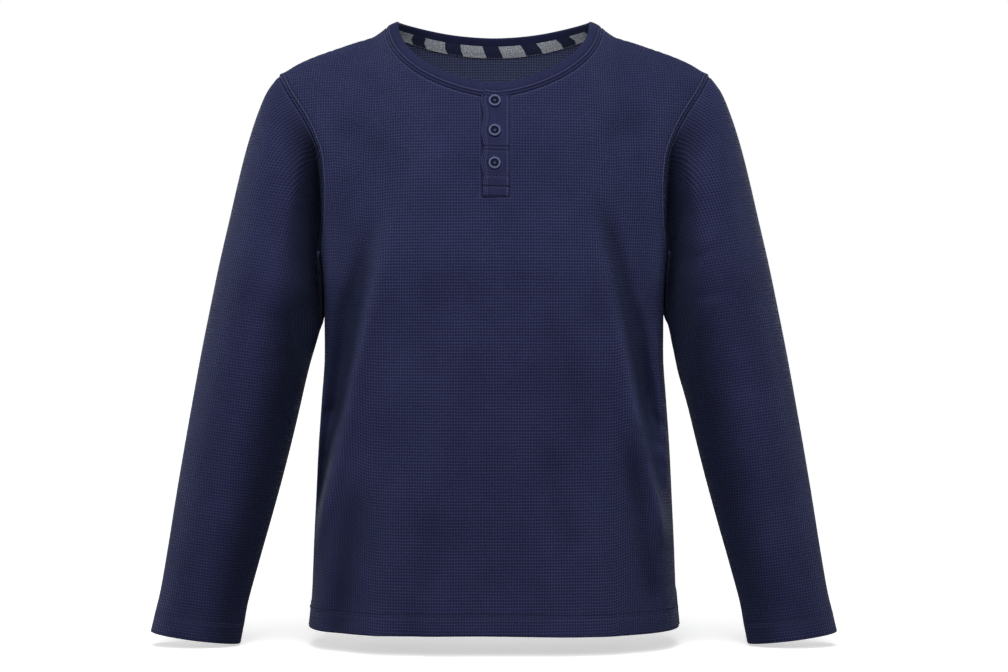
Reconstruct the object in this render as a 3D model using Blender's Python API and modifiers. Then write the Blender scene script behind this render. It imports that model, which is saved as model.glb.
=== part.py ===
"""A long-sleeved pyjama top of waffle knit with a round neck and a short buttoned opening.

It stands hollow, as if worn. Metres, +Z up. The front faces -Y and the wearer's left is at +X.
The origin lies between the shoulders, level with the highest points of the neck edge, in the plane
of the side seams.
"""

import math
from collections import namedtuple

import bmesh
import bpy
import numpy as np
from mathutils import Matrix
from mathutils.kdtree import KDTree

# Cloth walls
CLOTH = 0.0016
TURNED_UP = 0.0026
BAND_CLOTH = 0.0020
TAPE_CLOTH = 0.0010
SEAM_GAP = 0.0003

# Body
HEM_Z = -0.632
HEM_DEPTH = 0.020
UNDERARM_Z = -0.252
SHOULDER_X = 0.226
SQUARENESS = 2.4  # 2 is an ellipse, and more is boxier
RIDGE_REACH = {"front": 0.300, "back": 0.170}  # how far below the shoulder the full depth is reached
RIDGE_POWERS = (1.6, 0.6)  # how the depth grows on that way: the second rounds the shoulder's top
FOLD_START, FOLD_STOP = 3, 4  # a fold rises over a third of its length and dies out over a quarter
FOLD_RUN_OUT = 1.15
FOLD_SIDE = 9  # folds die out over the last ninth beside the side seams

# Neck
NECK_HALF = 0.1137
NECK_SIDE_Z = -0.0066
NECK_DROP = {"front": 0.0810, "back": 0.0152}
NECK_POINT = {"front": 0.15, "back": 0.0}  # the share of the drop that is a straight V
NECK_CURVE = {"front": 0.5, "back": 1.2}  # 0.5 is an ellipse, and more is flatter at the sides
BAND_WIDTH = 0.015
SIDE_LEAN, FRONT_LEAN, BACK_LEAN = 0.89, 0.25, 0.40  # how much the band leans in over the neck
TAPE_HALF = 0.006
TAPE_GAP = 0.0006
BandRow = namedtuple("BandRow", "up bulge wall")  # the share of the width, then metres outwards and in
BAND_ROWS = (
    BandRow(1.0, -0.0006, 0.0008),
    BandRow(0.93, 0.0002, BAND_CLOTH),
    BandRow(0.5, 0.0008, BAND_CLOTH),
    BandRow(0.0, 0.0, BAND_CLOTH),
)

# Buttoned opening: the places across its two sides. The upper side's free edge is on the wearer's
# right and its last edge is sewn down, while the under side is sewn down on the wearer's right.
OVER_PLACES = (-0.0107, -0.0055, 0.0, 0.0055, 0.0110, 0.0165)
UNDER_PLACES = (-0.0107, -0.0055, 0.0, 0.0050, 0.0100, 0.0150)
PLACKET_END_Z = -0.1905
PLACKET_LIFT = 0.0023
UNDER_SLOPE = 0.006  # the width over which the under side goes down beneath the panel
BUTTON_GAP = 0.0006
Turned = namedtuple("Turned", "radius height")  # half the button's section, from its middle outwards
BUTTON_SECTION = (
    Turned(0.0, 0.00149),
    Turned(0.0038, 0.00149),
    Turned(0.0044, 0.0024),
    Turned(0.0053, 0.0024),
    Turned(0.0061, 0.00149),
    Turned(0.0061, 0.00072),
    Turned(0.0054, 0.0),
    Turned(0.0, 0.0),
)
BUTTON_STEPS, HOLE_STEPS = 20, 8
HOLE_DEPTH = 0.0072
HOLE_RADIUS = 0.0007
HOLE_CIRCLE = 0.0015
BUTTON_X = 0.0010
BUTTON_HEIGHTS = (-0.0925, -0.1232, -0.1566)

# Sleeve
SLEEVE_SQUARENESS = 2.15
ARMHOLE_FADE = 0.30  # the share of the sleeve over which the armhole's own shape dies out
SIDE_CLEARANCE = 0.0014
SIDE_SOFTNESS = 0.0010
WALL_END = 0.98  # the share of the body's depth up to which its side is followed
PRESS_ABOVE, PRESS_FADE = 0.036, 0.020  # where above the underarm the sleeve starts to follow the body
PRESS_START = 0.03  # the share of the sleeve over which it leaves the armhole before it follows the body
SLEEVE_FOLD_ENDS = 2.5

# Grid steps: columns run from the middle to the side, and rows from the top to the hem
NECK_COLUMNS, SHOULDER_COLUMNS = 8, 4
ARMHOLE_ROWS, BODY_ROWS = 12, 15
SLEEVE_ROWS = 24
SLEEVE_SPACING = 1.15  # above 1 the sleeve's rows are closer near the armhole
SLOT_ROWS = 9  # the rows beside the buttoned opening
BACK_ROW_POWER = 1.3
PLACKET_ROWS = 11

# Normals are measured over these steps, and coarser on the sleeve so that its armhole is averaged.
FINE, COARSE = 1e-4, 0.02
TOUCHING = 2e-5  # points nearer than this are the same place of a seam
SAME_FACING = 0.98  # cosine above which two cloths at a seam count as facing one way
LEAST_LEAN = 0.55  # keeps the wall from growing long where two cloths meet sharply
HARD_EDGE = math.radians(50)

NAVY = (0.020, 0.023, 0.062)
NAVY_BAND = (0.026, 0.029, 0.072)
NAVY_BUTTON = (0.060, 0.066, 0.120)
TAPE_NAVY = (0.022, 0.027, 0.050)

# The body's sections. Above the underarm the half width is where the sides would meet with no armhole.
Section = namedtuple("Section", "z half_width front_depth back_depth")
SECTIONS = (
    Section(HEM_Z, 0.1937, 0.1160, 0.1110),
    Section(-0.615, 0.1920, 0.1150, 0.1100),
    Section(-0.598, 0.1905, 0.1145, 0.1090),
    Section(-0.548, 0.1885, 0.1140, 0.1060),
    Section(-0.498, 0.1862, 0.1130, 0.1030),
    Section(-0.448, 0.1838, 0.1125, 0.1005),
    Section(-0.397, 0.1803, 0.1125, 0.0990),
    Section(-0.347, 0.1772, 0.1140, 0.1010),
    Section(-0.300, 0.1776, 0.1160, 0.1060),
    Section(-0.252, 0.1810, 0.1180, 0.1120),
    Section(-0.220, 0.1836, 0.1180, 0.1150),
    Section(-0.190, 0.1900, 0.1180, 0.1175),
    Section(-0.162, 0.1985, 0.1180, 0.1180),
    Section(-0.130, 0.2120, 0.1180, 0.1180),
    Section(-0.110, 0.2240, 0.1180, 0.1180),
    Section(-0.080, 0.2450, 0.1180, 0.1180),
    Section(-0.057, 0.2620, 0.1180, 0.1180),
    Section(0.040, 0.3200, 0.1180, 0.1180),
)

# The shoulder line seen from the front. Inside the neck it is the line the cloth would follow.
Ridge = namedtuple("Ridge", "x z")
RIDGES = (
    Ridge(0.000, 0.0400),
    Ridge(0.050, 0.0330),
    Ridge(0.080, 0.0200),
    Ridge(0.100, 0.0060),
    Ridge(NECK_HALF, NECK_SIDE_Z),
    Ridge(0.1190, -0.0114),
    Ridge(0.1240, -0.0150),
    Ridge(0.1330, -0.0186),
    Ridge(0.1450, -0.0220),
    Ridge(0.1620, -0.0276),
    Ridge(0.186, -0.0360),
    Ridge(0.205, -0.0444),
    Ridge(0.219, -0.0528),
    Ridge(SHOULDER_X, -0.0570),
    Ridge(0.260, -0.0840),
)

# The armhole seam seen from the front: its distance from the middle on the front and the back panel.
Armhole = namedtuple("Armhole", "z front back")
ARMHOLES = (
    Armhole(-0.2520, 0.1810, 0.1810),
    Armhole(-0.2465, 0.1805, 0.1806),
    Armhole(-0.2350, 0.1788, 0.1792),
    Armhole(-0.2150, 0.1770, 0.1785),
    Armhole(-0.1900, 0.1766, 0.1815),
    Armhole(-0.1657, 0.1776, 0.1860),
    Armhole(-0.1426, 0.1802, 0.1915),
    Armhole(-0.1332, 0.1832, 0.1945),
    Armhole(-0.1141, 0.1918, 0.2010),
    Armhole(-0.0727, 0.2175, 0.2200),
    Armhole(-0.0570, SHOULDER_X, SHOULDER_X),
)

# The sleeve's rings from the armhole to the cuff: outer and inner ends as seen from the front,
# the half depth to the front and to the back, and how far the ring's middle lies towards the back.
Ring = namedtuple("Ring", "outer_x outer_z inner_x inner_z front back middle")
RINGS = (
    Ring(SHOULDER_X, -0.0570, 0.1810, UNDERARM_Z, 0.052, 0.054, 0.000),
    Ring(0.2385, -0.0745, 0.1800, -0.2560, 0.054, 0.056, 0.000),
    Ring(0.2475, -0.0960, 0.1760, -0.2605, 0.057, 0.059, 0.000),
    Ring(0.2585, -0.1300, 0.1700, -0.2680, 0.060, 0.062, 0.001),
    Ring(0.2682, -0.1680, 0.1665, -0.2780, 0.062, 0.064, 0.002),
    Ring(0.2775, -0.2080, 0.1660, -0.2920, 0.063, 0.065, 0.003),
    Ring(0.2873, -0.2500, 0.1705, -0.3110, 0.063, 0.064, 0.004),
    Ring(0.2970, -0.2965, 0.1850, -0.3360, 0.060, 0.062, 0.004),
    Ring(0.3070, -0.3470, 0.1975, -0.3780, 0.057, 0.058, 0.003),
    Ring(0.3165, -0.4000, 0.2088, -0.4260, 0.053, 0.054, 0.001),
    Ring(0.3250, -0.4500, 0.2203, -0.4730, 0.049, 0.050, -0.002),
    Ring(0.3330, -0.5000, 0.2325, -0.5190, 0.043, 0.044, -0.006),
    Ring(0.3405, -0.5500, 0.2455, -0.5660, 0.038, 0.038, -0.010),
    Ring(0.3485, -0.5980, 0.2572, -0.6110, 0.033, 0.033, -0.014),
    Ring(0.3530, -0.6170, 0.2602, -0.6290, 0.0315, 0.0315, -0.0155),
    Ring(0.3575, -0.6365, 0.2640, -0.6495, 0.0310, 0.0310, -0.017),
)

# Soft folds of the body: a line from top to foot, seen from the front, and the ridge on it.
# A negative height is a trough. x is signed, so the two sides differ as they do when worn.
Fold = namedtuple("Fold", "side top_x top_z foot_x foot_z width height")
FOLDS = (
    Fold("front", -0.118, -0.230, -0.176, -0.610, 0.018, 0.0050),
    Fold("front", -0.150, -0.300, -0.186, -0.560, 0.013, -0.0034),
    Fold("front", 0.120, -0.260, 0.178, -0.600, 0.017, 0.0052),
    Fold("front", 0.150, -0.330, 0.180, -0.500, 0.011, -0.0036),
    Fold("front", -0.060, -0.440, -0.075, -0.660, 0.034, 0.0026),
    Fold("front", 0.082, -0.460, 0.088, -0.660, 0.032, 0.0024),
    Fold("front", 0.006, -0.420, 0.004, -0.660, 0.040, -0.0024),
    Fold("back", -0.110, -0.200, -0.160, -0.600, 0.020, 0.0050),
    Fold("back", 0.112, -0.210, 0.165, -0.610, 0.021, 0.0054),
    Fold("back", -0.055, -0.300, -0.078, -0.660, 0.026, -0.0042),
    Fold("back", 0.050, -0.280, 0.072, -0.660, 0.027, -0.0040),
    Fold("back", 0.000, -0.330, -0.004, -0.660, 0.030, 0.0040),
    Fold("back", -0.140, -0.130, -0.070, -0.210, 0.016, -0.0024),
    Fold("back", 0.142, -0.135, 0.075, -0.220, 0.016, -0.0024),
)

# Soft folds of a sleeve. Along is the share of its length from the armhole, and around the angle
# in degrees from the outer edge, growing to the front. The ends are where the fold starts and stops.
SleeveFold = namedtuple("SleeveFold", "along_1 around_1 along_2 around_2 width height")
SLEEVE_FOLDS = {
    "right": (
        SleeveFold(0.10, 150, 0.36, 62, 0.060, -0.0030),
        SleeveFold(0.30, 172, 0.50, 95, 0.045, -0.0034),
        SleeveFold(0.38, 165, 0.52, 200, 0.040, 0.0032),
        SleeveFold(0.55, 158, 0.66, 96, 0.040, -0.0026),
        SleeveFold(0.12, 215, 0.34, 290, 0.060, -0.0036),
        SleeveFold(0.46, 205, 0.60, 275, 0.045, -0.0034),
    ),
    "left": (
        SleeveFold(0.09, 148, 0.30, 70, 0.055, -0.0034),
        SleeveFold(0.26, 165, 0.44, 100, 0.045, -0.0034),
        SleeveFold(0.42, 170, 0.56, 205, 0.045, 0.0032),
        SleeveFold(0.60, 150, 0.72, 88, 0.042, -0.0026),
        SleeveFold(0.14, 212, 0.38, 285, 0.060, -0.0036),
        SleeveFold(0.50, 200, 0.66, 270, 0.045, -0.0034),
    ),
}


def curve(rows, across, up):
    """A smooth line through a table's rows that never overshoots, as a function of column across."""
    ordered = sorted(rows, key=lambda row: getattr(row, across))
    x = np.array([getattr(row, across) for row in ordered])
    y = np.array([getattr(row, up) for row in ordered])
    step, slope = np.diff(x), np.diff(y) / np.diff(x)
    tangent = np.concatenate([slope[:1], np.zeros(len(x) - 2), slope[-1:]])
    for i in range(1, len(x) - 1):
        if slope[i - 1] * slope[i] > 0:
            before, after = 2 * step[i] + step[i - 1], step[i] + 2 * step[i - 1]
            tangent[i] = (before + after) / (before / slope[i - 1] + after / slope[i])

    def at(place):
        place = np.clip(place, x[0], x[-1])
        i = np.clip(np.searchsorted(x, place) - 1, 0, len(x) - 2)
        t = (place - x[i]) / step[i]
        return (
            y[i] * (1 + 2 * t) * (1 - t) ** 2
            + tangent[i] * step[i] * t * (1 - t) ** 2
            + y[i + 1] * t**2 * (3 - 2 * t)
            + tangent[i + 1] * step[i] * t**2 * (t - 1)
        )

    return at


half_width = curve(SECTIONS, "z", "half_width")
full_depth = {side: curve(SECTIONS, "z", f"{side}_depth") for side in ("front", "back")}
ridge_z = curve(RIDGES, "x", "z")
armhole_x = {side: curve(ARMHOLES, "z", side) for side in ("front", "back")}
FACING = {"front": -1.0, "back": 1.0}


def ease(share):
    """0 at 0 and 1 at 1, level at both ends."""
    share = np.clip(share, 0, 1)
    return share * share * (3 - 2 * share)


def mix(a, b, share):
    return a + (b - a) * share


def unit(vectors):
    return vectors / np.maximum(np.linalg.norm(vectors, axis=-1, keepdims=True), 1e-12)


def neck_z(x, side):
    """The height of the neck seam at a distance from the middle."""
    share = np.clip(x / NECK_HALF, 0, 1)
    curved, straight = (1 - share**2) ** NECK_CURVE[side], 1 - share
    return NECK_SIDE_Z - NECK_DROP[side] * mix(curved, straight, NECK_POINT[side])


def fold_height(x, z, side):
    """How far the folds lift the cloth. They die out at their ends and at the side seams."""
    lifted = np.zeros(np.broadcast(x, z).shape)
    for fold in (f for f in FOLDS if f.side == side):
        run = np.array([fold.foot_x - fold.top_x, fold.foot_z - fold.top_z])
        length = np.linalg.norm(run)
        along = ((x - fold.top_x) * run[0] + (z - fold.top_z) * run[1]) / length**2
        off = ((x - fold.top_x) * run[1] - (z - fold.top_z) * run[0]) / length
        ends = ease(along * FOLD_START) * ease((FOLD_RUN_OUT - along) * FOLD_STOP)
        lifted = lifted + fold.height * np.exp(-((off / fold.width) ** 2)) * ends
    return lifted * ease((1 - np.abs(x) / half_width(z)) * FOLD_SIDE)


def body_point(x, z, side):
    """A point of the body's outer surface. x is signed and the rest follows from the tables."""
    out = np.clip(np.abs(x) / half_width(z), 0, 1)
    around = (1 - out**SQUARENESS) ** (1 / SQUARENESS)
    below = np.clip((ridge_z(np.abs(x)) - z) / RIDGE_REACH[side], 0, 1)
    down = (1 - (1 - below) ** RIDGE_POWERS[0]) ** RIDGE_POWERS[1]
    depth = full_depth[side](z) * around * down + fold_height(x, z, side)
    return np.stack(np.broadcast_arrays(x, FACING[side] * depth, z), axis=-1)


NECK_SHARE = NECK_COLUMNS / (NECK_COLUMNS + SHOULDER_COLUMNS)
ARMHOLE_SHARE = ARMHOLE_ROWS / (ARMHOLE_ROWS + BODY_ROWS)
ARMHOLE_MID = (RINGS[0].outer_z + UNDERARM_Z) / 2
ARMHOLE_HALF = (RINGS[0].outer_z - UNDERARM_Z) / 2
SLOT_EDGES = (SEAM_GAP - OVER_PLACES[0], SEAM_GAP + OVER_PLACES[-1])


def middle_edge(sign, side):
    """How far a half panel's inner edge lies from the middle, on the wearer's right (-1) or left."""
    return np.where(sign < 0, *SLOT_EDGES) if side == "front" else np.zeros_like(sign)


def row_power(top, side):
    """The power that spaces a panel's upper rows. On the front one row meets the opening's end."""
    if side == "back":
        return BACK_ROW_POWER
    share = (PLACKET_END_Z - top) / (UNDERARM_Z - top)
    return np.log(share) / math.log(SLOT_ROWS / ARMHOLE_ROWS)


def panel_point(across, down, side):
    """The outer surface of a panel. across runs from the middle (0) to the side (1), and is below 0 on
    the wearer's right. down runs from the neck and shoulder (0) to the hem (1)."""
    out, sign = np.abs(across), np.where(across < 0, -1.0, 1.0)
    inner = middle_edge(sign, side)
    # The top edge: the neck curve in equal angles, then the shoulder seam.
    angle = mix(np.arcsin(inner / NECK_HALF), math.pi / 2, np.clip(out / NECK_SHARE, 0, 1))
    past = np.clip((out - NECK_SHARE) / (1 - NECK_SHARE), 0, 1)
    top_x = np.where(out < NECK_SHARE, NECK_HALF * np.sin(angle), mix(NECK_HALF, SHOULDER_X, past))
    top_z = np.where(out < NECK_SHARE, neck_z(top_x, side), ridge_z(top_x))
    # The side edge: the armhole in equal angles, then the side seam.
    upper = np.clip(down / ARMHOLE_SHARE, 0, 1)
    lower = np.clip((down - ARMHOLE_SHARE) / (1 - ARMHOLE_SHARE), 0, 1)
    below = down > ARMHOLE_SHARE
    armhole_z = ARMHOLE_MID + ARMHOLE_HALF * np.cos(math.pi * upper)
    body_z = mix(UNDERARM_Z, HEM_Z, lower)
    side_z = np.where(below, body_z, armhole_z)
    side_x = np.where(below, half_width(body_z), armhole_x[side](armhole_z))
    # The middle edge, and the rows that turn from the shape of the top edge to level lines.
    middle_top = neck_z(inner, side)
    middle_z = np.where(
        below, body_z, mix(middle_top, UNDERARM_Z, upper ** row_power(middle_top, side))
    )
    level = ease(upper)
    widest = np.arcsin(np.clip(side_x / half_width(side_z), 0, 1))
    top_share = (top_x - inner) / (SHOULDER_X - inner)
    share = mix(top_share, np.sin(out * widest) / np.sin(widest), level)
    x = inner + (side_x - inner) * share
    rise = top_z - mix(middle_top, RIDGES[-2].z, top_share)
    z = mix(middle_z, side_z, share) + (1 - level) * rise
    return body_point(sign * x, z, side)


def armhole_point(around):
    """The armhole seam at an angle from the shoulder, growing down the front to the underarm and up
    the back."""
    z = ARMHOLE_MID + ARMHOLE_HALF * np.cos(around)
    front = body_point(armhole_x["front"](z), z, "front")
    back = body_point(armhole_x["back"](z), z, "back")
    return np.where((np.sin(around) >= 0)[..., None], front, back)


def ring_columns():
    """Each column of the sleeve's rings as a smooth function of the share along the sleeve."""
    placed = namedtuple("Placed", ("along",) + Ring._fields)
    rows = [placed(i / (len(RINGS) - 1), *ring) for i, ring in enumerate(RINGS)]
    return {column: curve(rows, "along", column) for column in Ring._fields}


ring_column = ring_columns()


def ring_point(around, along):
    """A point of the plain sleeve, whose rings are nearly elliptical."""
    outer = np.stack([ring_column["outer_x"](along), ring_column["outer_z"](along)], axis=-1)
    inner = np.stack([ring_column["inner_x"](along), ring_column["inner_z"](along)], axis=-1)
    power = 2 / SLEEVE_SQUARENESS
    swing = np.sign(np.cos(around)) * np.abs(np.cos(around)) ** power
    reach = np.sign(np.sin(around)) * np.abs(np.sin(around)) ** power
    seen = (outer + inner) / 2 + (outer - inner) / 2 * swing[..., None]
    half = np.where(reach > 0, ring_column["front"](along), ring_column["back"](along))
    y = ring_column["middle"](along) - half * reach
    return np.stack([seen[..., 0], y, seen[..., 1]], axis=-1)


def sleeve_fold_height(around, along, wearer_side):
    """How far a sleeve's folds lift the cloth."""
    lifted = np.zeros(around.shape)
    turn = (around / (2 * math.pi)) % 1
    for fold in SLEEVE_FOLDS[wearer_side]:
        run = np.array([fold.along_2 - fold.along_1, (fold.around_2 - fold.around_1) / 360])
        length = np.linalg.norm(run)
        past, beside = along - fold.along_1, turn - fold.around_1 / 360
        share = (past * run[0] + beside * run[1]) / length**2
        off = (past * run[1] - beside * run[0]) / length
        ends = ease(share * SLEEVE_FOLD_ENDS) * ease((1 - share) * SLEEVE_FOLD_ENDS)
        lifted += fold.height * np.exp(-((off / fold.width) ** 2)) * ends
    return lifted


def beside_body(point, along):
    """The sleeve's points under the arm are pushed out to lie just clear of the body's side."""
    z, y = point[..., 2], point[..., 1]
    depth = np.where(y < 0, full_depth["front"](z), full_depth["back"](z))
    out = np.clip(np.abs(y) / depth, 0, WALL_END)
    wall = half_width(z) * (1 - out**SQUARENESS) ** (1 / SQUARENESS) + SIDE_CLEARANCE
    half_gap = (point[..., 0] - wall) / 2
    pushed = point.copy()
    pushed[..., 0] = wall + half_gap + np.sqrt(half_gap**2 + SIDE_SOFTNESS**2)
    weight = ease((UNDERARM_Z + PRESS_ABOVE - z) / PRESS_FADE) * ease(along / PRESS_START)
    return mix(point, pushed, weight[..., None])


def sleeve_point(around, along, wearer_side):
    """A point of the left sleeve's outer surface. The right sleeve is its mirror with its own folds."""
    around, along = np.broadcast_arrays(around, along)
    plain = ring_point(around, along)
    fade = np.clip(1 - along / ARMHOLE_FADE, 0, 1)[..., None] ** 2
    point = plain + fade * (armhole_point(around) - ring_point(around, np.zeros(along.shape)))
    outer, inner = np.zeros(along.shape), np.full(along.shape, math.pi)
    middle = (ring_point(outer, along) + ring_point(inner, along)) / 2
    point = point + sleeve_fold_height(around, along, wearer_side)[..., None] * unit(point - middle)
    return beside_body(point, along)


def surface_normals(surface, u, v, u_limits, v_limits, step):
    """Normals of a surface(u, v) from steps that stay inside its limits."""
    u_low, u_high = np.clip(u - step, *u_limits), np.clip(u + step, *u_limits)
    v_low, v_high = np.clip(v - step, *v_limits), np.clip(v + step, *v_limits)
    along_u = surface(u_high, v) - surface(u_low, v)
    along_v = surface(u, v_high) - surface(u, v_low)
    return unit(np.cross(along_u, along_v))


class Piece:
    """A piece of cloth: outer points on a grid, how each goes inwards per metre of wall, and the wall."""

    def __init__(self, outer, facing, wall):
        self.outer = outer
        self.facing = facing
        self.inwards = -facing
        self.lean = np.ones(outer.shape[:2])
        self.wall = np.broadcast_to(np.asarray(wall, dtype=float), outer.shape[:2])

    def mitre(self, place, facings):
        """At a seam the wall leans halfway between the cloths that meet, and keeps its thickness."""
        distinct = []
        for facing in facings:
            if all(facing @ other < SAME_FACING for other in distinct):
                distinct.append(facing)
        shared = unit(sum(distinct))
        self.lean[place] = max(shared @ self.facing[place], LEAST_LEAN)
        self.inwards[place] = -shared / self.lean[place]

    def inset(self, edge, beside):
        """The step that draws an edge back by one, so that the runs on both sides of a corner move."""
        points, facing = self.outer[edge], self.facing[edge]
        runs = unit(np.diff(points, axis=0))
        round_tube = np.linalg.norm(points[0] - points[-1]) < TOUCHING
        first, last = (runs[-1:], runs[:1]) if round_tube else (runs[:1], runs[-1:])
        before = unit(np.cross(facing, np.concatenate([first, runs])))
        after = unit(np.cross(facing, np.concatenate([runs, last])))
        sign = np.sign(np.sum(before * (self.outer[beside] - points)))
        share = 1 + np.maximum(np.sum(before * after, axis=1, keepdims=True), 0)
        return sign * (before + after) / share

    def faces(self, drawn_back=()):
        """The outer and inner faces, drawn back by half a seam gap along the named edges."""
        inner = self.outer + self.wall[..., None] * self.inwards
        outer = self.outer.copy()
        whole = slice(None)
        edges = {"top": ((0,), (1,)), "foot": ((-1,), (-2,)),
                 "first": ((whole, 0), (whole, 1)), "last": ((whole, -1), (whole, -2))}
        for name in drawn_back:
            edge, beside = edges[name]
            shift = self.inset(edge, beside) * SEAM_GAP / 2 / self.lean[edge][:, None]
            outer[edge] += shift
            inner[edge] += shift
        return outer, inner


def share_mitres(pieces):
    """Wherever the outer points of pieces meet, their walls lean between their normals."""
    places = [(piece, place) for piece in pieces for place in np.ndindex(piece.outer.shape[:2])]
    tree = KDTree(len(places))
    for number, (piece, place) in enumerate(places):
        tree.insert(piece.outer[place], number)
    tree.balance()
    for piece, place in places:
        near = [places[number] for _, number, _ in tree.find_range(piece.outer[place], TOUCHING)]
        if len(near) > 1:
            piece.mitre(place, [other.facing[at] for other, at in near])


def turned_wall(shape):
    """One layer of cloth, and more over the last two rows, where the hem is turned up."""
    wall = np.full(shape, CLOTH)
    wall[-2:] = TURNED_UP
    return wall


def panel_piece(side):
    """The front or back panel on a grid whose columns run from the wearer's right to the left."""
    half = np.linspace(0, 1, NECK_COLUMNS + SHOULDER_COLUMNS + 1)
    right = -half[::-1] if side == "front" else -half[:0:-1]
    across = np.concatenate([np.minimum(right, -1e-9), half])
    hem_top = 1 - (1 - ARMHOLE_SHARE) * HEM_DEPTH / (UNDERARM_Z - HEM_Z)
    upper = np.linspace(0, ARMHOLE_SHARE, ARMHOLE_ROWS + 1)
    lower = np.linspace(ARMHOLE_SHARE, hem_top, BODY_ROWS)[1:]
    across, down = np.meshgrid(across, np.concatenate([upper, lower, [1.0]]))

    def surface(u, v):
        return panel_point(u, v, side)

    facing = surface_normals(surface, across, down, (-1, 1), (0, 1), FINE) * FACING[side]
    return Piece(surface(across, down), facing, turned_wall(across.shape))


def sleeve_piece(wearer_side):
    """A sleeve, a row for each ring. The columns start at the outer edge and go round by the front."""
    along = np.linspace(0, 1, SLEEVE_ROWS + 1) ** SLEEVE_SPACING
    along[-2] = 1 - 1 / (len(RINGS) - 1)
    around, along = np.meshgrid(np.linspace(0, 2 * math.pi, 2 * ARMHOLE_ROWS + 1), along)

    def surface(u, v):
        return sleeve_point(u, v, wearer_side)

    outer = surface(around, along)
    facing = surface_normals(surface, around, along, (-1, 7), (0, 1), COARSE)
    flip = [-1, 1, 1] if wearer_side == "right" else [1, 1, 1]
    return Piece(outer * flip, facing * flip, turned_wall(around.shape))


def neck_side(turn):
    """The panel at a place on the neck seam. turn is 0 at the front and grows to the left."""
    return np.where(np.cos(turn) > -1e-9, "front", "back")


def neck_seam(turn):
    """The neck seam's point at an angle from the middle of the front."""
    x = NECK_HALF * np.sin(turn)
    front = body_point(x, neck_z(np.abs(x), "front"), "front")
    back = body_point(x, neck_z(np.abs(x), "back"), "back")
    return np.where((neck_side(turn) == "front")[..., None], front, back)


def band_rise(turn):
    """The way the neckband stands on the neck seam: up, and leaning in over the neck."""
    lean = np.where(np.cos(turn) > 0, FRONT_LEAN, -BACK_LEAN)
    sideways, inwards = -SIDE_LEAN * np.sin(turn), lean * np.abs(np.cos(turn))
    return np.stack([sideways, inwards, np.sqrt(1 - sideways**2 - inwards**2)], axis=-1)


def band_facing(turn):
    """The neckband's outward normal along the neck seam."""
    run = unit(neck_seam(turn + 10 * FINE) - neck_seam(turn - 10 * FINE))
    return unit(np.cross(run, band_rise(turn)))


def body_facing(x, z, side):
    """The body's outward normal at a place on a panel."""
    run_x = body_point(x + FINE, z, side) - body_point(x - FINE, z, side)
    run_z = body_point(x, z, side) - body_point(x, z - FINE, side)
    facing = unit(np.cross(run_x, run_z))
    return facing * np.sign(facing[..., 1:2] * FACING[side])


def over_level(x):
    """How far the overlapping side of the opening stands above the front panel."""
    return PLACKET_LIFT * ease((OVER_PLACES[-1] - x) / (OVER_PLACES[-1] - OVER_PLACES[0]))


def under_level(x):
    """How far the side beneath lies under the front panel."""
    return -PLACKET_LIFT * ease((x - UNDER_PLACES[0]) / UNDER_SLOPE)


def neck_turns():
    """The neckband's places along the neck seam, from the end beneath, round the back, to the end on
    top, and how far each is lifted."""
    right, left = np.arcsin(np.array(SLOT_EDGES) / NECK_HALF)
    beneath = np.array(UNDER_PLACES[:0:-1])
    on_top = np.array(OVER_PLACES[-2::-1])
    front_right = -np.linspace(right, math.pi / 2, NECK_COLUMNS + 1)
    behind = -np.linspace(math.pi / 2, 3 * math.pi / 2, 2 * NECK_COLUMNS + 1)[1:-1]
    front_left = -2 * math.pi + np.linspace(math.pi / 2, left, NECK_COLUMNS + 1)
    whole = np.concatenate([front_right, behind, front_left])
    turns = np.concatenate([np.arcsin(beneath / NECK_HALF), whole,
                            np.arcsin(on_top / NECK_HALF) - 2 * math.pi])
    level = np.concatenate([under_level(beneath), np.zeros(len(whole)), over_level(on_top)])
    return turns, level


def neckband_piece():
    """The neckband: rows from its upper edge down to the neck seam."""
    turns, level = neck_turns()
    seam, rise, facing = neck_seam(turns), band_rise(turns), band_facing(turns)
    up, bulge, wall = (np.array(column)[:, None, None] for column in zip(*BAND_ROWS))
    outer = seam + up * BAND_WIDTH * rise + bulge * facing
    # Over the buttoned opening the band is lifted or sunk with the cloth that it is sewn to.
    x = NECK_HALF * np.sin(turns)
    beside = body_facing(x, neck_z(np.abs(x), "front"), "front")
    outer = outer + level[:, None] * beside
    piece = Piece(outer, np.broadcast_to(facing, outer.shape).copy(), wall[..., 0])
    for column in np.flatnonzero(level):
        piece.mitre((-1, column), [facing[column], beside[column]])
    return piece


def tape_piece():
    """A narrow tape inside the back neck, with its upper half on the neckband."""
    turns = np.linspace(math.pi / 2, 3 * math.pi / 2, 2 * NECK_COLUMNS + 1)[1:-1]
    seam, rise, facing = neck_seam(turns), band_rise(turns), band_facing(turns)
    low_z = seam[:, 2] - TAPE_HALF * np.sqrt(np.abs(np.cos(turns)))
    low = body_point(seam[:, 0], low_z, "back")
    low_facing = body_facing(seam[:, 0], low_z, "back")
    mitre = unit(facing + low_facing)
    lean = np.sum(mitre * facing, axis=1, keepdims=True)
    depth = BAND_CLOTH + TAPE_GAP
    outer = np.stack([seam + TAPE_HALF * rise - depth * facing, seam - depth / lean * mitre,
                      low - depth * low_facing])
    return Piece(outer, np.stack([facing, mitre, low_facing]), TAPE_CLOTH)


def placket_piece(level, places):
    """One side of the buttoned opening: a strip that follows the front panel at its own level."""
    x = np.array(places)
    top = neck_z(np.abs(x), "front")
    z = mix(top, PLACKET_END_Z + SEAM_GAP, np.linspace(0, 1, PLACKET_ROWS + 1)[:, None])
    x = np.broadcast_to(x, z.shape)
    facing = body_facing(x, z, "front")
    piece = Piece(body_point(x, z, "front") + level(x)[..., None] * facing, facing, CLOTH)
    for column, band in enumerate(band_facing(np.arcsin(x[0] / NECK_HALF))):
        piece.mitre((0, column), [band, facing[0, column]])
    return piece


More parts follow.
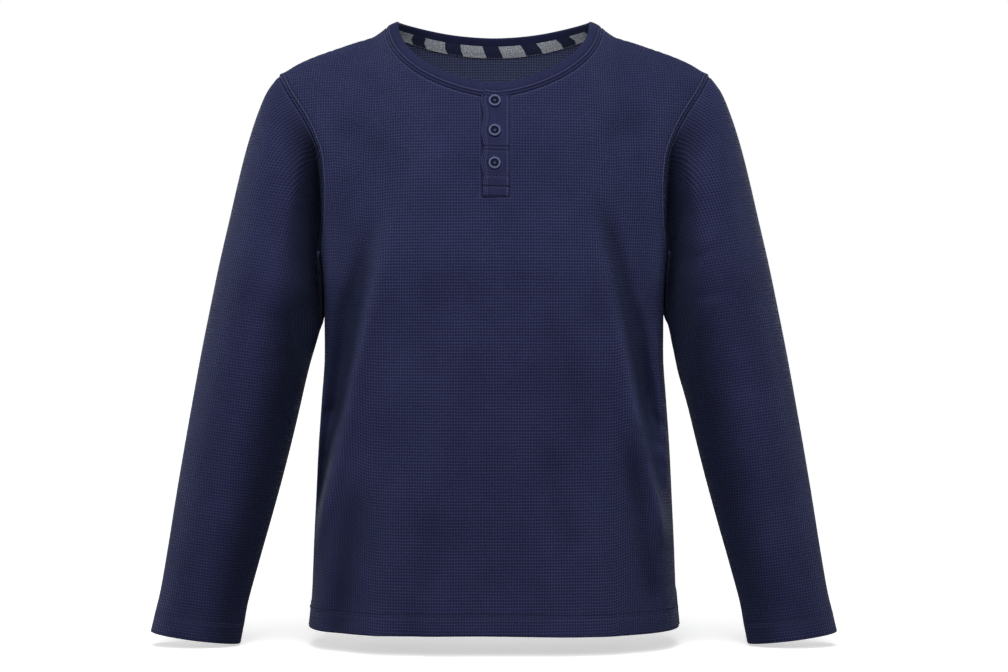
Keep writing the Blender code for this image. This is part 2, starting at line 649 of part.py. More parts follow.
def material(name, colour, roughness):
    made = bpy.data.materials.new(name)
    made.use_nodes = True
    shader = made.node_tree.nodes["Principled BSDF"]
    shader.inputs["Base Color"].default_value = (*colour, 1.0)
    shader.inputs["Roughness"].default_value = roughness
    shader.inputs["Metallic"].default_value = 0.0
    made.diffuse_color = (*colour, 1.0)
    return made


def add_object(name, mesh, finish, collection):
    mesh.materials.append(finish)
    made = bpy.data.objects.new(name, mesh)
    collection.objects.link(made)
    return made


def cloth_wall(name, piece, drawn_back, finish, collection, tube=False, gap=None):
    """A flat grid is thickened into a slab and bent so that its faces lie on the piece's points.

    A tube's last column repeats its first. gap tells which cells, by row and column, are left out."""
    outer, inner = piece.faces(drawn_back)
    rows, columns = outer.shape[0] - 1, outer.shape[1] - 1
    mesh = bmesh.new()
    bmesh.ops.create_grid(mesh, x_segments=columns, y_segments=rows, size=0.5)

    def cell(face):
        middle = face.calc_center_median()
        return int((0.5 - middle.y) * rows), int((middle.x + 0.5) * columns)

    if gap:
        gone = [face for face in mesh.faces if gap(*cell(face))]
        bmesh.ops.delete(mesh, geom=gone, context="FACES")
    slab = bmesh.ops.extrude_face_region(mesh, geom=mesh.faces[:])
    for corner in (part for part in slab["geom"] if isinstance(part, bmesh.types.BMVert)):
        corner.co.z = -1.0
    if tube:
        ends = [f for f in mesh.faces if all(abs(abs(v.co.x) - 0.5) < 1e-6 for v in f.verts)]
        bmesh.ops.delete(mesh, geom=ends, context="FACES")
    for corner in mesh.verts:
        row, column = round((0.5 - corner.co.y) * rows), round((corner.co.x + 0.5) * columns)
        corner.co = (inner if corner.co.z < -0.5 else outer)[row, column]
    if tube:
        bmesh.ops.remove_doubles(mesh, verts=mesh.verts, dist=1e-5)
    if mesh.calc_volume(signed=True) < 0:
        bmesh.ops.reverse_faces(mesh, faces=mesh.faces)
    data = bpy.data.meshes.new(name)
    mesh.to_mesh(data)
    mesh.free()
    data.shade_smooth()
    data.set_sharp_from_angle(angle=HARD_EDGE)
    return add_object(name, data, finish, collection)


def button_body(name, finish, collection):
    """A dished disc with a raised rim, turned from half its section."""
    data = bpy.data.meshes.new(name)
    corners = [(place.radius, 0.0, place.height) for place in BUTTON_SECTION]
    data.from_pydata(corners, [(i, i + 1) for i in range(len(corners) - 1)], [])
    button = add_object(name, data, finish, collection)
    turn = button.modifiers.new("turn", "SCREW")
    turn.steps = turn.render_steps = BUTTON_STEPS
    turn.use_merge_vertices = True
    turn.merge_threshold = 0.00001
    turn.use_normal_calculate = True
    return button


def button_drill(name):
    """Four round pins that cut the thread holes."""
    pins = bmesh.new()
    for corner in range(4):
        pin = bmesh.ops.create_cone(pins, cap_ends=True, segments=HOLE_STEPS, radius1=HOLE_RADIUS,
                                    radius2=HOLE_RADIUS, depth=HOLE_DEPTH)
        angle = math.pi / 4 + corner * math.pi / 2
        offset = (HOLE_CIRCLE * math.cos(angle), HOLE_CIRCLE * math.sin(angle), 0.0)
        bmesh.ops.translate(pins, verts=pin["verts"], vec=offset)
    data = bpy.data.meshes.new(name)
    pins.to_mesh(data)
    pins.free()
    drill = bpy.data.objects.new(name, data)
    bpy.data.collections["cutters"].objects.link(drill)
    drill.hide_render = True
    drill.display_type = "WIRE"
    return drill


def build_button(name, z, finish, collection):
    """A button lying on the overlapping side of the opening."""
    button, drill = button_body(name, finish, collection), button_drill(name + "_holes")
    cut = button.modifiers.new("holes", "BOOLEAN")
    cut.operation, cut.solver, cut.object = "DIFFERENCE", "EXACT", drill
    x, z = np.array(BUTTON_X), np.array(z)
    facing = body_facing(x, z, "front")
    seat = body_point(x, z, "front") + (over_level(x) + BUTTON_GAP) * facing
    across = unit(np.cross([0.0, 0.0, 1.0], facing))
    placed = Matrix.Identity(4)
    for column, direction in enumerate((across, np.cross(facing, across), facing, seat)):
        for row in range(3):
            placed[row][column] = direction[row]
    button.matrix_world = placed
    drill.matrix_world = placed


def build():
    for item in list(bpy.data.objects):
        bpy.data.objects.remove(item)
    top = bpy.data.collections.new("pyjama_top")
    cutters = bpy.data.collections.new("cutters")
    for made in (top, cutters):
        bpy.context.scene.collection.children.link(made)
    waffle = material("waffle_knit", NAVY, 0.9)
    jersey = material("band_jersey", NAVY_BAND, 0.85)
    tape = material("neck_tape", TAPE_NAVY, 0.85)
    plastic = material("button_plastic", NAVY_BUTTON, 0.35)

    front, back = panel_piece("front"), panel_piece("back")
    sleeves = {side: sleeve_piece(side) for side in ("left", "right")}
    band = neckband_piece()
    share_mitres([front, back, band, *sleeves.values()])

    slot = NECK_COLUMNS + SHOULDER_COLUMNS
    sewn = ("top", "first", "last")
    cloth_wall("front_panel", front, sewn, waffle, top,
               gap=lambda row, column: row < SLOT_ROWS and column == slot)
    cloth_wall("back_panel", back, sewn, waffle, top)
    for side, sleeve in sleeves.items():
        cloth_wall(f"sleeve_{side}", sleeve, ("top",), waffle, top, tube=True)
    cloth_wall("neckband", band, ("foot",), jersey, top)
    cloth_wall("neck_tape", tape_piece(), (), tape, top)
    over, under = placket_piece(over_level, OVER_PLACES), placket_piece(under_level, UNDER_PLACES)
    cloth_wall("placket_over", over, ("top",), jersey, top)
    cloth_wall("placket_under", under, ("top",), jersey, top)
    for number, z in enumerate(BUTTON_HEIGHTS, start=1):
        build_button(f"button_{number}", z, plastic, top)


build()
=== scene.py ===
# %% [markdown]
# # A pyjama top of waffle knit
# The real object is a long-sleeved sleep top. Its two body panels and two sleeves are waffle knit, its
# neckband and short buttoned opening are fine jersey, a woven tape covers the seam inside the back neck,
# and three plastic buttons close the opening. The plain solids of these pieces are loaded first and stay
# as they are. Each piece below is a thin shell that stands for one of them, because cloth is thin, and
# its folds, seams and stitches are what the eye looks for.

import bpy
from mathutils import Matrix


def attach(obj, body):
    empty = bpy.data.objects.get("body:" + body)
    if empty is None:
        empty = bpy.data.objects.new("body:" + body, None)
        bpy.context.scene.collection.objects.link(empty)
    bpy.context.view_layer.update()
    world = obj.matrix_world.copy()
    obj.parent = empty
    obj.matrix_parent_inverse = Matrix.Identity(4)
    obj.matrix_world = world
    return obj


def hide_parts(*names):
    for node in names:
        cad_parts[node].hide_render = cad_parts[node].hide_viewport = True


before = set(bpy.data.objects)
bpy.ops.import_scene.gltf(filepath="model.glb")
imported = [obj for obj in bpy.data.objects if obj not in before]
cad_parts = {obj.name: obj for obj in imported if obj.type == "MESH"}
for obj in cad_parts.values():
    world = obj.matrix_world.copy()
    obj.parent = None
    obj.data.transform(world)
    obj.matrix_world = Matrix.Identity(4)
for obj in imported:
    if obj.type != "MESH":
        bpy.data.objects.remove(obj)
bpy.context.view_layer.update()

import math
from collections import namedtuple

import bpy
import numpy as np
from mathutils.kdtree import KDTree

print("solids:", ", ".join(sorted(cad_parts)))

# %% [markdown]
# ## Camera, floor and light
# The picture shows the top square from the front, a little above its middle, against white. A long lens
# keeps the sleeves from looking larger than the back. One pixel covers 1.05 mm in the plane of the side
# seams, so the lens follows from the distance. The floor lies just below the cuffs and catches a soft
# shadow. One soft box in front shapes the chest, and eight broad suns, from above and from all round,
# lift the outer edges of the sleeves as white studio walls do.

# %% Camera
PICTURE_WIDE = 1008
PIXEL = 0.00105
CAMERA_PLACE = (0.0105, -2.5, -0.330)
SENSOR = 36.0

camera_data = bpy.data.cameras.new("camera")
camera_data.sensor_width = SENSOR
camera_data.lens = SENSOR * -CAMERA_PLACE[1] / (PICTURE_WIDE * PIXEL)
camera = bpy.data.objects.new("camera", camera_data)
camera.location = CAMERA_PLACE
camera.rotation_euler = (math.pi / 2, 0.0, 0.0)
bpy.context.scene.collection.objects.link(camera)
bpy.context.scene.camera = camera
print("lens of %.1f mm" % camera_data.lens)

# %% Node helpers
def join(tree, value, socket):
    """Joins a socket, or sets a value."""
    if isinstance(value, bpy.types.NodeSocket):
        tree.links.new(value, socket)
    else:
        socket.default_value = value


def fill(tree, node, **inputs):
    """Gives a node its inputs by name. Underscores stand for spaces."""
    for name, value in inputs.items():
        join(tree, value, node.inputs[name.replace("_", " ")])
    return node


def add_node(tree, kind, **inputs):
    """A new node with its inputs. A name that starts with set_ is a setting of the node."""
    node = tree.nodes.new("ShaderNode" + kind)
    for name in [name for name in inputs if name.startswith("set_")]:
        setattr(node, name[4:], inputs.pop(name))
    return fill(tree, node, **inputs)


def calculate(tree, operation, *values, kind="Math"):
    node = add_node(tree, kind, set_operation=operation)
    for value, socket in zip(values, node.inputs):
        join(tree, value, socket)
    return node.outputs[0]


def times(tree, *values):
    return calculate(tree, "MULTIPLY", *values)


def plus(tree, *values):
    return calculate(tree, "ADD", *values)


def half_wave(tree, angle):
    """A row of equal bumps, 0 between them and 1 on top."""
    return calculate(tree, "ABSOLUTE", calculate(tree, "SINE", angle))


def ramp(tree, value, **limits):
    """Maps a value from one range, 0 to 1 if none is given, to another."""
    return add_node(tree, "MapRange", Value=value, **limits).outputs[0]


def new_material(name):
    """A material with an empty Principled shader, and its node tree."""
    made = bpy.data.materials.new(name)
    made.use_nodes = True
    return made, made.node_tree, made.node_tree.nodes["Principled BSDF"]


# %% Floor and light
FLOOR_Z, FLOOR_SIZE = -0.6525, 60
FLOOR_GLOW = 0.56
FLOOR_SEEN, FLOOR_BOUNCE = 0.95, 0.40
ROOM_BRIGHTNESS = 0.04
Panel = namedtuple("Panel", "name turn height power")
PANELS = (
    Panel("panel_above", 0, 78, 0.94),
    Panel("panel_front", -6, 14, 0.24),
    Panel("panel_left", -72, 12, 0.22),
    Panel("panel_right", 75, 10, 0.17),
    Panel("panel_left_behind", -115, 10, 0.80),
    Panel("panel_right_behind", 115, 10, 0.46),
    Panel("panel_behind_left", -155, 10, 0.36),
    Panel("panel_behind_right", 155, 10, 0.42),
)
PANEL_ANGLE = 28
BOX_PLACE, BOX_TARGET = (-0.02, -1.05, 0.36), (0, 0, -0.30)
BOX_SIZE, BOX_POWER = 0.9, 9.0


def deselect():
    bpy.ops.object.select_all(action="DESELECT")


def aim(lamp, away):
    flat = math.hypot(away[0], away[1])
    lamp.rotation_euler = (math.atan2(flat, away[2]), 0.0, math.atan2(away[1], away[0]) + math.pi / 2)


def add_lamp(name, kind, power, away, place=(0, 0, 0)):
    """A lamp that shines from the side that away points to."""
    data = bpy.data.lights.new(name, kind)
    data.energy = power
    item = bpy.data.objects.new(name, data)
    item.location = place
    aim(item, away)
    bpy.context.scene.collection.objects.link(item)
    return data


def make_floor():
    """White acrylic, lit from below as a light table is, so that shadows on it stay soft and pale."""
    deselect()
    bpy.ops.mesh.primitive_plane_add(size=FLOOR_SIZE, location=(0, 0, FLOOR_Z))
    floor = bpy.context.object
    floor.name = "floor"
    made, tree, shader = new_material("pale_floor")
    seen = add_node(tree, "LightPath").outputs["Is Camera Ray"]
    paint = ramp(tree, seen, To_Min=FLOOR_BOUNCE, To_Max=FLOOR_SEEN)
    fill(tree, shader, Base_Color=paint, Roughness=1.0, Specular_IOR_Level=0.0,
         Emission_Color=(1, 1, 1, 1), Emission_Strength=times(tree, seen, FLOOR_GLOW))
    floor.data.materials.append(made)
    return floor


def make_room():
    """The room is white to the eye, and dim as a light, because the panels are what lights the top."""
    world = bpy.data.worlds.new("white_room")
    world.use_nodes = True
    tree = world.node_tree
    seen = add_node(tree, "LightPath").outputs["Is Camera Ray"]
    strength = ramp(tree, seen, To_Min=ROOM_BRIGHTNESS, To_Max=1.0)
    fill(tree, tree.nodes["Background"], Color=(1, 1, 1, 1), Strength=strength)
    bpy.context.scene.world = world


floor = make_floor()
make_room()
for panel in PANELS:
    turn, height = math.radians(panel.turn), math.radians(panel.height)
    away = (math.sin(turn) * math.cos(height), -math.cos(turn) * math.cos(height), math.sin(height))
    add_lamp(panel.name, "SUN", panel.power, away).angle = math.radians(PANEL_ANGLE)
away = np.array(BOX_PLACE) - np.array(BOX_TARGET)
add_lamp("front_box", "AREA", BOX_POWER, away, BOX_PLACE).size = BOX_SIZE
bpy.context.scene.view_settings.view_transform = "Standard"
print("floor at %.4f m, %d lights" % (FLOOR_Z, len(PANELS) + 1))

# %% [markdown]
# ## The cut in numbers
# A worn top has no flat faces, so its form is kept as short tables: sections across the body, the
# shoulder line, the armhole, and rings down the sleeve. A smooth line through each column gives every
# size in between. The same form could be sculpted by hand, but numbers keep all the pieces in step, and
# they are the numbers of the solids, so that each shell lies on its solid. Lengths are in metres. The
# tables hold them in whole tenths of a millimetre, and the neckband's profile in hundredths.

# %% Body, shoulder and armhole
TENTHS, HUNDREDTHS = 10000, 100000


def table(kind, parts, rows):
    """Rows of a kind from whole numbers. parts is how many of them make one, for all or each column."""
    parts = parts if isinstance(parts, tuple) else (parts,) * len(kind._fields)
    return tuple(kind(*(number / part for number, part in zip(row, parts))) for row in rows)


HEM_Z, UNDERARM_Z, SHOULDER_X, SHOULDER_Z = -0.632, -0.252, 0.226, -0.0570
SQUARENESS = 2.4
RIDGE_REACH = {"front": 0.300, "back": 0.170}
RIDGE_POWERS = (1.6, 0.6)
NECK_HALF, NECK_SIDE_Z = 0.1137, -0.0066
NECK_DROP = {"front": 0.0810, "back": 0.0152}
NECK_POINT = {"front": 0.15, "back": 0.0}
NECK_CURVE = {"front": 0.5, "back": 1.2}
FACING = {"front": -1.0, "back": 1.0}

Section = namedtuple("Section", "z half_width front_depth back_depth")
SECTIONS = table(Section, TENTHS, (
    (-6320, 1937, 1160, 1110), (-6150, 1920, 1150, 1100), (-5980, 1905, 1145, 1090),
    (-5480, 1885, 1140, 1060), (-4980, 1862, 1130, 1030), (-4480, 1838, 1125, 1005),
    (-3970, 1803, 1125, 990), (-3470, 1772, 1140, 1010), (-3000, 1776, 1160, 1060),
    (-2520, 1810, 1180, 1120), (-2200, 1836, 1180, 1150), (-1900, 1900, 1180, 1175),
    (-1620, 1985, 1180, 1180), (-1300, 2120, 1180, 1180), (-1100, 2240, 1180, 1180),
    (-800, 2450, 1180, 1180), (-570, 2620, 1180, 1180), (400, 3200, 1180, 1180),
))
Ridge = namedtuple("Ridge", "x z")
RIDGES = table(Ridge, TENTHS, (
    (0, 400), (500, 330), (800, 200), (1000, 60), (1137, -66), (1190, -114),
    (1240, -150), (1330, -186), (1450, -220), (1620, -276), (1860, -360), (2050, -444),
    (2190, -528), (2260, -570), (2600, -840),
))
Armhole = namedtuple("Armhole", "z front back")
ARMHOLES = table(Armhole, TENTHS, (
    (-2520, 1810, 1810), (-2465, 1805, 1806), (-2350, 1788, 1792), (-2150, 1770, 1785),
    (-1900, 1766, 1815), (-1657, 1776, 1860), (-1426, 1802, 1915), (-1332, 1832, 1945),
    (-1141, 1918, 2010), (-727, 2175, 2200), (-570, 2260, 2260),
))


def curve(rows, across, up):
    """A smooth line through a table's rows that never overshoots, as a function of column across."""
    ordered = sorted(rows, key=lambda row: getattr(row, across))
    x = np.array([getattr(row, across) for row in ordered])
    y = np.array([getattr(row, up) for row in ordered])
    step, slope = np.diff(x), np.diff(y) / np.diff(x)
    tangent = np.concatenate([slope[:1], np.zeros(len(x) - 2), slope[-1:]])
    for i in range(1, len(x) - 1):
        if slope[i - 1] * slope[i] > 0:
            before, after = 2 * step[i] + step[i - 1], step[i] + 2 * step[i - 1]
            tangent[i] = (before + after) / (before / slope[i - 1] + after / slope[i])

    def at(place):
        place = np.clip(place, x[0], x[-1])
        i = np.clip(np.searchsorted(x, place) - 1, 0, len(x) - 2)
        t = (place - x[i]) / step[i]
        return (
            y[i] * (1 + 2 * t) * (1 - t) ** 2
            + tangent[i] * step[i] * t * (1 - t) ** 2
            + y[i + 1] * t**2 * (3 - 2 * t)
            + tangent[i + 1] * step[i] * t**2 * (t - 1)
        )

    return at


half_width = curve(SECTIONS, "z", "half_width")
full_depth = {side: curve(SECTIONS, "z", f"{side}_depth") for side in FACING}
ridge_z = curve(RIDGES, "x", "z")
armhole_x = {side: curve(ARMHOLES, "z", side) for side in FACING}
print("chest %.0f mm wide, hem %.0f mm wide" % (2000 * half_width(-0.3), 2000 * half_width(HEM_Z)))

# %% [markdown]
# ## Folds and creases
# Soft cloth that hangs from the shoulders falls in long shallow folds at its sides, and it puckers
# where the arms push it. Each fold is a line on the cloth with a soft ridge or trough across it. The
# long ones are those of the solids. The short creases, which are too fine for the solids, are placed
# one by one: the photo shows those of the front, and the back has others like them. No two are alike.

# %% Folds
Fold = namedtuple("Fold", "top_x top_z foot_x foot_z top_width foot_width top_height foot_height")
FOLDS = {
    "front": table(Fold, TENTHS, (
        (-1180, -2300, -1760, -6100, 180, 180, 50, 50), (-1500, -3000, -1860, -5600, 130, 130, -34, -34),
        (1200, -2600, 1780, -6000, 170, 170, 52, 52), (1500, -3300, 1800, -5000, 110, 110, -36, -36),
        (-600, -4400, -750, -6600, 340, 340, 26, 26), (820, -4600, 880, -6600, 320, 320, 24, 24),
        (60, -4200, 40, -6600, 400, 400, -24, -24),
    )),
    "back": table(Fold, TENTHS, (
        (-1100, -2000, -1600, -6000, 200, 200, 50, 50), (1120, -2100, 1650, -6100, 210, 210, 54, 54),
        (-550, -3000, -780, -6600, 260, 260, -42, -42), (500, -2800, 720, -6600, 270, 270, -40, -40),
        (0, -3300, -40, -6600, 300, 300, 40, 40), (-1400, -1300, -700, -2100, 160, 160, -24, -24),
        (1420, -1350, 750, -2200, 160, 160, -24, -24),
    )),
}
CREASES = {
    "front": table(Fold, TENTHS, (
        (-1080, -2350, -1425, -3750, 50, 45, 16, 24), (-1370, -3500, -1770, -5080, 45, 42, 24, 30),
        (1240, -3000, 1470, -4180, 50, 45, 16, 26), (1425, -3980, 1715, -5200, 45, 42, 28, 36),
        (-960, -1700, -1770, -5300, 130, 84, 48, 112), (-1200, -1950, -1860, -5100, 130, 78, -82, -118),
        (-1460, -2700, -1660, -4200, 120, 90, -76, -76), (1040, -2000, 1500, -4400, 125, 80, 44, 74),
        (1370, -3720, 1735, -5350, 72, 68, 40, 76), (1060, -1800, 1640, -4260, 120, 80, -80, -96),
        (1440, -2900, 1600, -4000, 70, 55, -40, -48), (1670, -2900, 1790, -4800, 60, 50, 26, 32),
        (1340, -4200, 1620, -6000, 110, 90, -34, -38), (-1400, -4700, -1580, -6400, 170, 130, -38, -50),
        (-940, -4400, -1240, -6900, 130, 110, 22, 30), (-560, -4600, -900, -6900, 140, 120, -16, -22),
        (1460, -4020, 1820, -4240, 48, 40, -11, -13), (1420, -4280, 1820, -4460, 42, 36, -12, -14),
        (1500, -4520, 1830, -4670, 46, 36, -10, -12), (-1480, -3920, -1790, -4140, 50, 40, -13, -16),
        (-1520, -4460, -1830, -4600, 44, 36, -12, -16), (520, -4250, 800, -5450, 160, 130, -18, -18),
        (980, -4800, 1220, -6800, 140, 120, 22, 28), (-300, -3000, -620, -4700, 180, 150, 16, 16),
        (600, -3000, 1000, -4300, 160, 130, -14, -16), (1740, -750, 1710, -2900, 140, 130, 32, 42),
        (-1740, -750, -1710, -2900, 140, 130, 32, 42), (1650, -1000, 800, -1500, 120, 140, -18, -12),
        (-1680, -1050, -850, -1600, 130, 150, -18, -12),
    )),
    "back": table(Fold, TENTHS, (
        (-1020, -1800, -1780, -5300, 130, 60, 26, 56), (-1220, -2100, -1840, -5200, 120, 65, -48, -70),
        (1060, -1700, 1800, -5450, 125, 55, 28, 58), (1200, -1900, 1820, -4800, 115, 60, -50, -74),
        (1380, -2500, 1760, -3000, 100, 70, -20, -24), (-1320, -2400, -1740, -2960, 110, 80, -22, -26),
        (1480, -4050, 1820, -4280, 52, 40, -16, -20), (-1460, -4400, -1840, -4580, 48, 40, -16, -20),
        (200, -1200, -60, -2050, 140, 120, -14, -14), (-900, -3800, -300, -4150, 90, 110, -18, -12),
        (960, -3960, 340, -4400, 100, 120, -16, -12),
    )),
}
# How fast a fold rises at its top, where it ends as a share of its line, and how fast it falls there.
FOLD_ENDS, CREASE_ENDS = (3, 1.15, 4), (3.5, 1.1, 5)
STEEPEST = 2.3
FOLD_FADE, CREASE_FADE = 9, 32


def ease(share):
    """0 at 0 and 1 at 1, level at both ends."""
    share = np.clip(share, 0, 1)
    return share * share * (3 - 2 * share)


def mix(a, b, share):
    return a + (b - a) * share


def unit(vectors):
    return vectors / np.maximum(np.linalg.norm(vectors, axis=-1, keepdims=True), 1e-12)


def folded(folds, ends, x, z):
    """How far tapering folds push the cloth out. ends says how fast they rise, and where they end."""
    rise, end, fall = ends
    lifted = np.zeros(np.broadcast(x, z).shape)
    for fold in folds:
        run = np.array([fold.foot_x - fold.top_x, fold.foot_z - fold.top_z])
        length = np.linalg.norm(run)
        along = ((x - fold.top_x) * run[0] + (z - fold.top_z) * run[1]) / length**2
        off = ((x - fold.top_x) * run[1] - (z - fold.top_z) * run[0]) / length
        share = np.clip(along, 0, 1)
        width = mix(fold.top_width, fold.foot_width, share)
        height = mix(fold.top_height, fold.foot_height, share)
        fade = ease(along * rise) * ease((end - along) * fall)
        lifted = lifted + height * np.exp(-((off / width) ** 2)) * fade
    return lifted


def fold_height(x, z, side):
    """How far the long folds push the cloth out. They die out at the side seams."""
    return folded(FOLDS[side], FOLD_ENDS, x, z) * ease((1 - np.abs(x) / half_width(z)) * FOLD_FADE)


def crease_height(x, z, side):
    """The same for the creases. A steep side needs a longer push for the same crease."""
    out = np.clip(np.abs(x) / half_width(z), 0, 0.995)
    turn = (1 - out**SQUARENESS) ** (1 / SQUARENESS - 1) * out ** (SQUARENESS - 1)
    steep = np.sqrt(1 + (full_depth[side](z) / half_width(z) * turn) ** 2)
    lifted = folded(CREASES[side], CREASE_ENDS, x, z)
    return lifted * np.minimum(steep, STEEPEST) * ease((1 - out) * CREASE_FADE)


def body_point(x, z, side):
    """A point of the body's outer surface. x is signed and the rest follows from the tables."""
    out = np.clip(np.abs(x) / half_width(z), 0, 1)
    around = (1 - out**SQUARENESS) ** (1 / SQUARENESS)
    below = np.clip((ridge_z(np.abs(x)) - z) / RIDGE_REACH[side], 0, 1)
    down = (1 - (1 - below) ** RIDGE_POWERS[0]) ** RIDGE_POWERS[1]
    depth = full_depth[side](z) * around * down + fold_height(x, z, side) + crease_height(x, z, side)
    return np.stack(np.broadcast_arrays(x, FACING[side] * depth, z), axis=-1)


for side in FACING:
    print("%s: %d long folds and %d creases" % (side, len(FOLDS[side]), len(CREASES[side])))

# %% [markdown]
# ## The body panels
# A knitter's panel is one flat piece of cloth. Here a flat grid is bent onto the body's form: its
# columns run from the middle to the side seam, its rows from the neck and shoulder to the hem. Rows and
# columns crowd together where there is fine detail: at the seams, at the stitch lines and at the hem.
# The neck and the armhole are spaced in equal angles, and the pieces that meet there use the same
# places, so that no seam gapes.

# %% Places of the rows and columns
OVER_EDGES = (-0.0107, 0.0165)
PLACKET_END_Z = -0.1905
SEAM_GAP = 0.0003
NECK_COLUMNS, SHOULDER_COLUMNS = 40, 30
ARMHOLE_ROWS, BODY_ROWS = 64, 92
NECK_SHARE, ARMHOLE_SHARE = 8 / 12, 12 / 27
SLOT_SHARE = 9 / 12
FINE_EDGE = (0.0012, 0.0026, 0.0042, 0.0060, 0.0080, 0.0102, 0.0126, 0.0152, 0.0180)
HEM_STEPS = (0.0300, 0.0270, 0.0245, 0.0228, 0.0217, 0.0207, 0.0199, 0.0191, 0.0181, 0.0173,
             0.0165, 0.0155, 0.0142, 0.0120, 0.0090, 0.0060, 0.0036, 0.0018, 0.0)
ARMHOLE_MID, ARMHOLE_HALF = (SHOULDER_Z + UNDERARM_Z) / 2, (SHOULDER_Z - UNDERARM_Z) / 2
SLOT_EDGES = (SEAM_GAP - OVER_EDGES[0], SEAM_GAP + OVER_EDGES[1])

neck_places = np.linspace(0, NECK_SHARE, NECK_COLUMNS + 1)
shoulder_places = np.linspace(NECK_SHARE, 1, SHOULDER_COLUMNS + 1)[1:]
near_side = 1 - np.array(FINE_EDGE[::-1]) * 0.6
half_places = np.concatenate([neck_places, shoulder_places[shoulder_places < near_side[0] - 0.004],
                              near_side, [1.0]])
armhole_places = np.linspace(0, ARMHOLE_SHARE, ARMHOLE_ROWS + 1)
hem_places = 1 - (1 - ARMHOLE_SHARE) * np.array(HEM_STEPS) / (UNDERARM_Z - HEM_Z)
body_places = np.linspace(ARMHOLE_SHARE, hem_places[0], BODY_ROWS + 1)[1:-1]
row_places = np.concatenate([armhole_places, body_places, hem_places])
print("%d rows and %d columns on half a panel" % (len(row_places), len(half_places)))

# %% Panel surface
HEM_WAVES = {"front": (0.0016, -0.030, 0.090), "back": (0.0018, 0.020, 0.110)}
BACK_POWER = 1.3


def neck_z(x, side):
    """The height of the neck seam at a distance from the middle."""
    share = np.clip(x / NECK_HALF, 0, 1)
    curved, straight = (1 - share**2) ** NECK_CURVE[side], 1 - share
    return NECK_SIDE_Z - NECK_DROP[side] * mix(curved, straight, NECK_POINT[side])


def row_power(top, side):
    """The power that spaces a panel's upper rows. On the front one row meets the opening's end."""
    if side == "back":
        return BACK_POWER
    return np.log((PLACKET_END_Z - top) / (UNDERARM_Z - top)) / math.log(SLOT_SHARE)


def panel_place(across, down, side):
    """x and z of a place on a panel. across runs from the middle (0) to the side (1), and is below 0
    on the wearer's right. down runs from the neck and shoulder (0) to the hem (1)."""
    out, sign = np.abs(across), np.where(across < 0, -1.0, 1.0)
    inner = np.where(sign < 0, *SLOT_EDGES) if side == "front" else np.zeros_like(sign)
    angle = mix(np.arcsin(inner / NECK_HALF), math.pi / 2, np.clip(out / NECK_SHARE, 0, 1))
    past = np.clip((out - NECK_SHARE) / (1 - NECK_SHARE), 0, 1)
    in_neck = out < NECK_SHARE
    top_x = np.where(in_neck, NECK_HALF * np.sin(angle), mix(NECK_HALF, SHOULDER_X, past))
    top_z = np.where(in_neck, neck_z(top_x, side), ridge_z(top_x))
    upper = np.clip(down / ARMHOLE_SHARE, 0, 1)
    lower = np.clip((down - ARMHOLE_SHARE) / (1 - ARMHOLE_SHARE), 0, 1)
    below = down > ARMHOLE_SHARE
    armhole_z = ARMHOLE_MID + ARMHOLE_HALF * np.cos(math.pi * upper)
    body_z = mix(UNDERARM_Z, HEM_Z, lower)
    side_z = np.where(below, body_z, armhole_z)
    side_x = np.where(below, half_width(body_z), armhole_x[side](armhole_z))
    middle_top = neck_z(inner, side)
    middle_z = np.where(
        below, body_z, mix(middle_top, UNDERARM_Z, upper ** row_power(middle_top, side))
    )
    level = ease(upper)
    widest = np.arcsin(np.clip(side_x / half_width(side_z), 0, 1))
    top_share = (top_x - inner) / (SHOULDER_X - inner)
    share = mix(top_share, np.sin(out * widest) / np.sin(widest), level)
    x = inner + (side_x - inner) * share
    rise = top_z - mix(middle_top, SHOULDER_Z, top_share)
    z = mix(middle_z, side_z, share) + (1 - level) * rise
    height, middle, reach = HEM_WAVES[side]
    wave = height * np.exp(-(((sign * x - middle) / reach) ** 2)) * ease(lower * 4 - 3)
    return sign * x, z + wave


def panel_point(across, down, side):
    return body_point(*panel_place(across, down, side), side)


def surface_normals(surface, u, v, u_limits, v_limits, step):
    """Normals of a surface(u, v) from steps that stay inside its limits."""
    u_low, u_high = np.clip(u - step, *u_limits), np.clip(u + step, *u_limits)
    v_low, v_high = np.clip(v - step, *v_limits), np.clip(v + step, *v_limits)
    along_u = surface(u_high, v) - surface(u_low, v)
    along_v = surface(u, v_high) - surface(u, v_low)
    return unit(np.cross(along_u, along_v))


# %% Flat chart of a panel
CHART_STEPS = 56
CHART_ZERO_Z, CHART_EDGE = -0.300, 0.96


def lengths(points, axis):
    """Lengths from the first point on, along an axis of an array of points."""
    axis = axis % points.ndim
    steps = np.linalg.norm(np.diff(points, axis=axis), axis=-1)
    start = np.zeros_like(np.take(steps, [0], axis=axis))
    return np.cumsum(np.concatenate([start, steps], axis=axis), axis=axis)


def flat_chart(x, z, side):
    """Where places of a panel lie on the flat cloth, in metres across and up."""
    share = np.linspace(0, 1, CHART_STEPS)
    widest = np.arcsin(np.clip(np.abs(x) / half_width(z), 0, 1))[..., None]
    across = np.sign(x)[..., None] * half_width(z)[..., None] * np.sin(widest * share)
    u = np.sign(x) * lengths(body_point(across, z[..., None] + 0 * across, side), -2)[..., -1]
    level = mix(CHART_ZERO_Z, z[..., None], 1 - (1 - share) ** 2)
    kept = np.minimum(np.abs(x)[..., None], CHART_EDGE * half_width(level)) * np.sign(x)[..., None]
    climb = body_point(kept, level, side)[..., 1:]
    v = np.sign(z - CHART_ZERO_Z) * lengths(climb, -2)[..., -1]
    return np.stack([u, v], axis=-1)


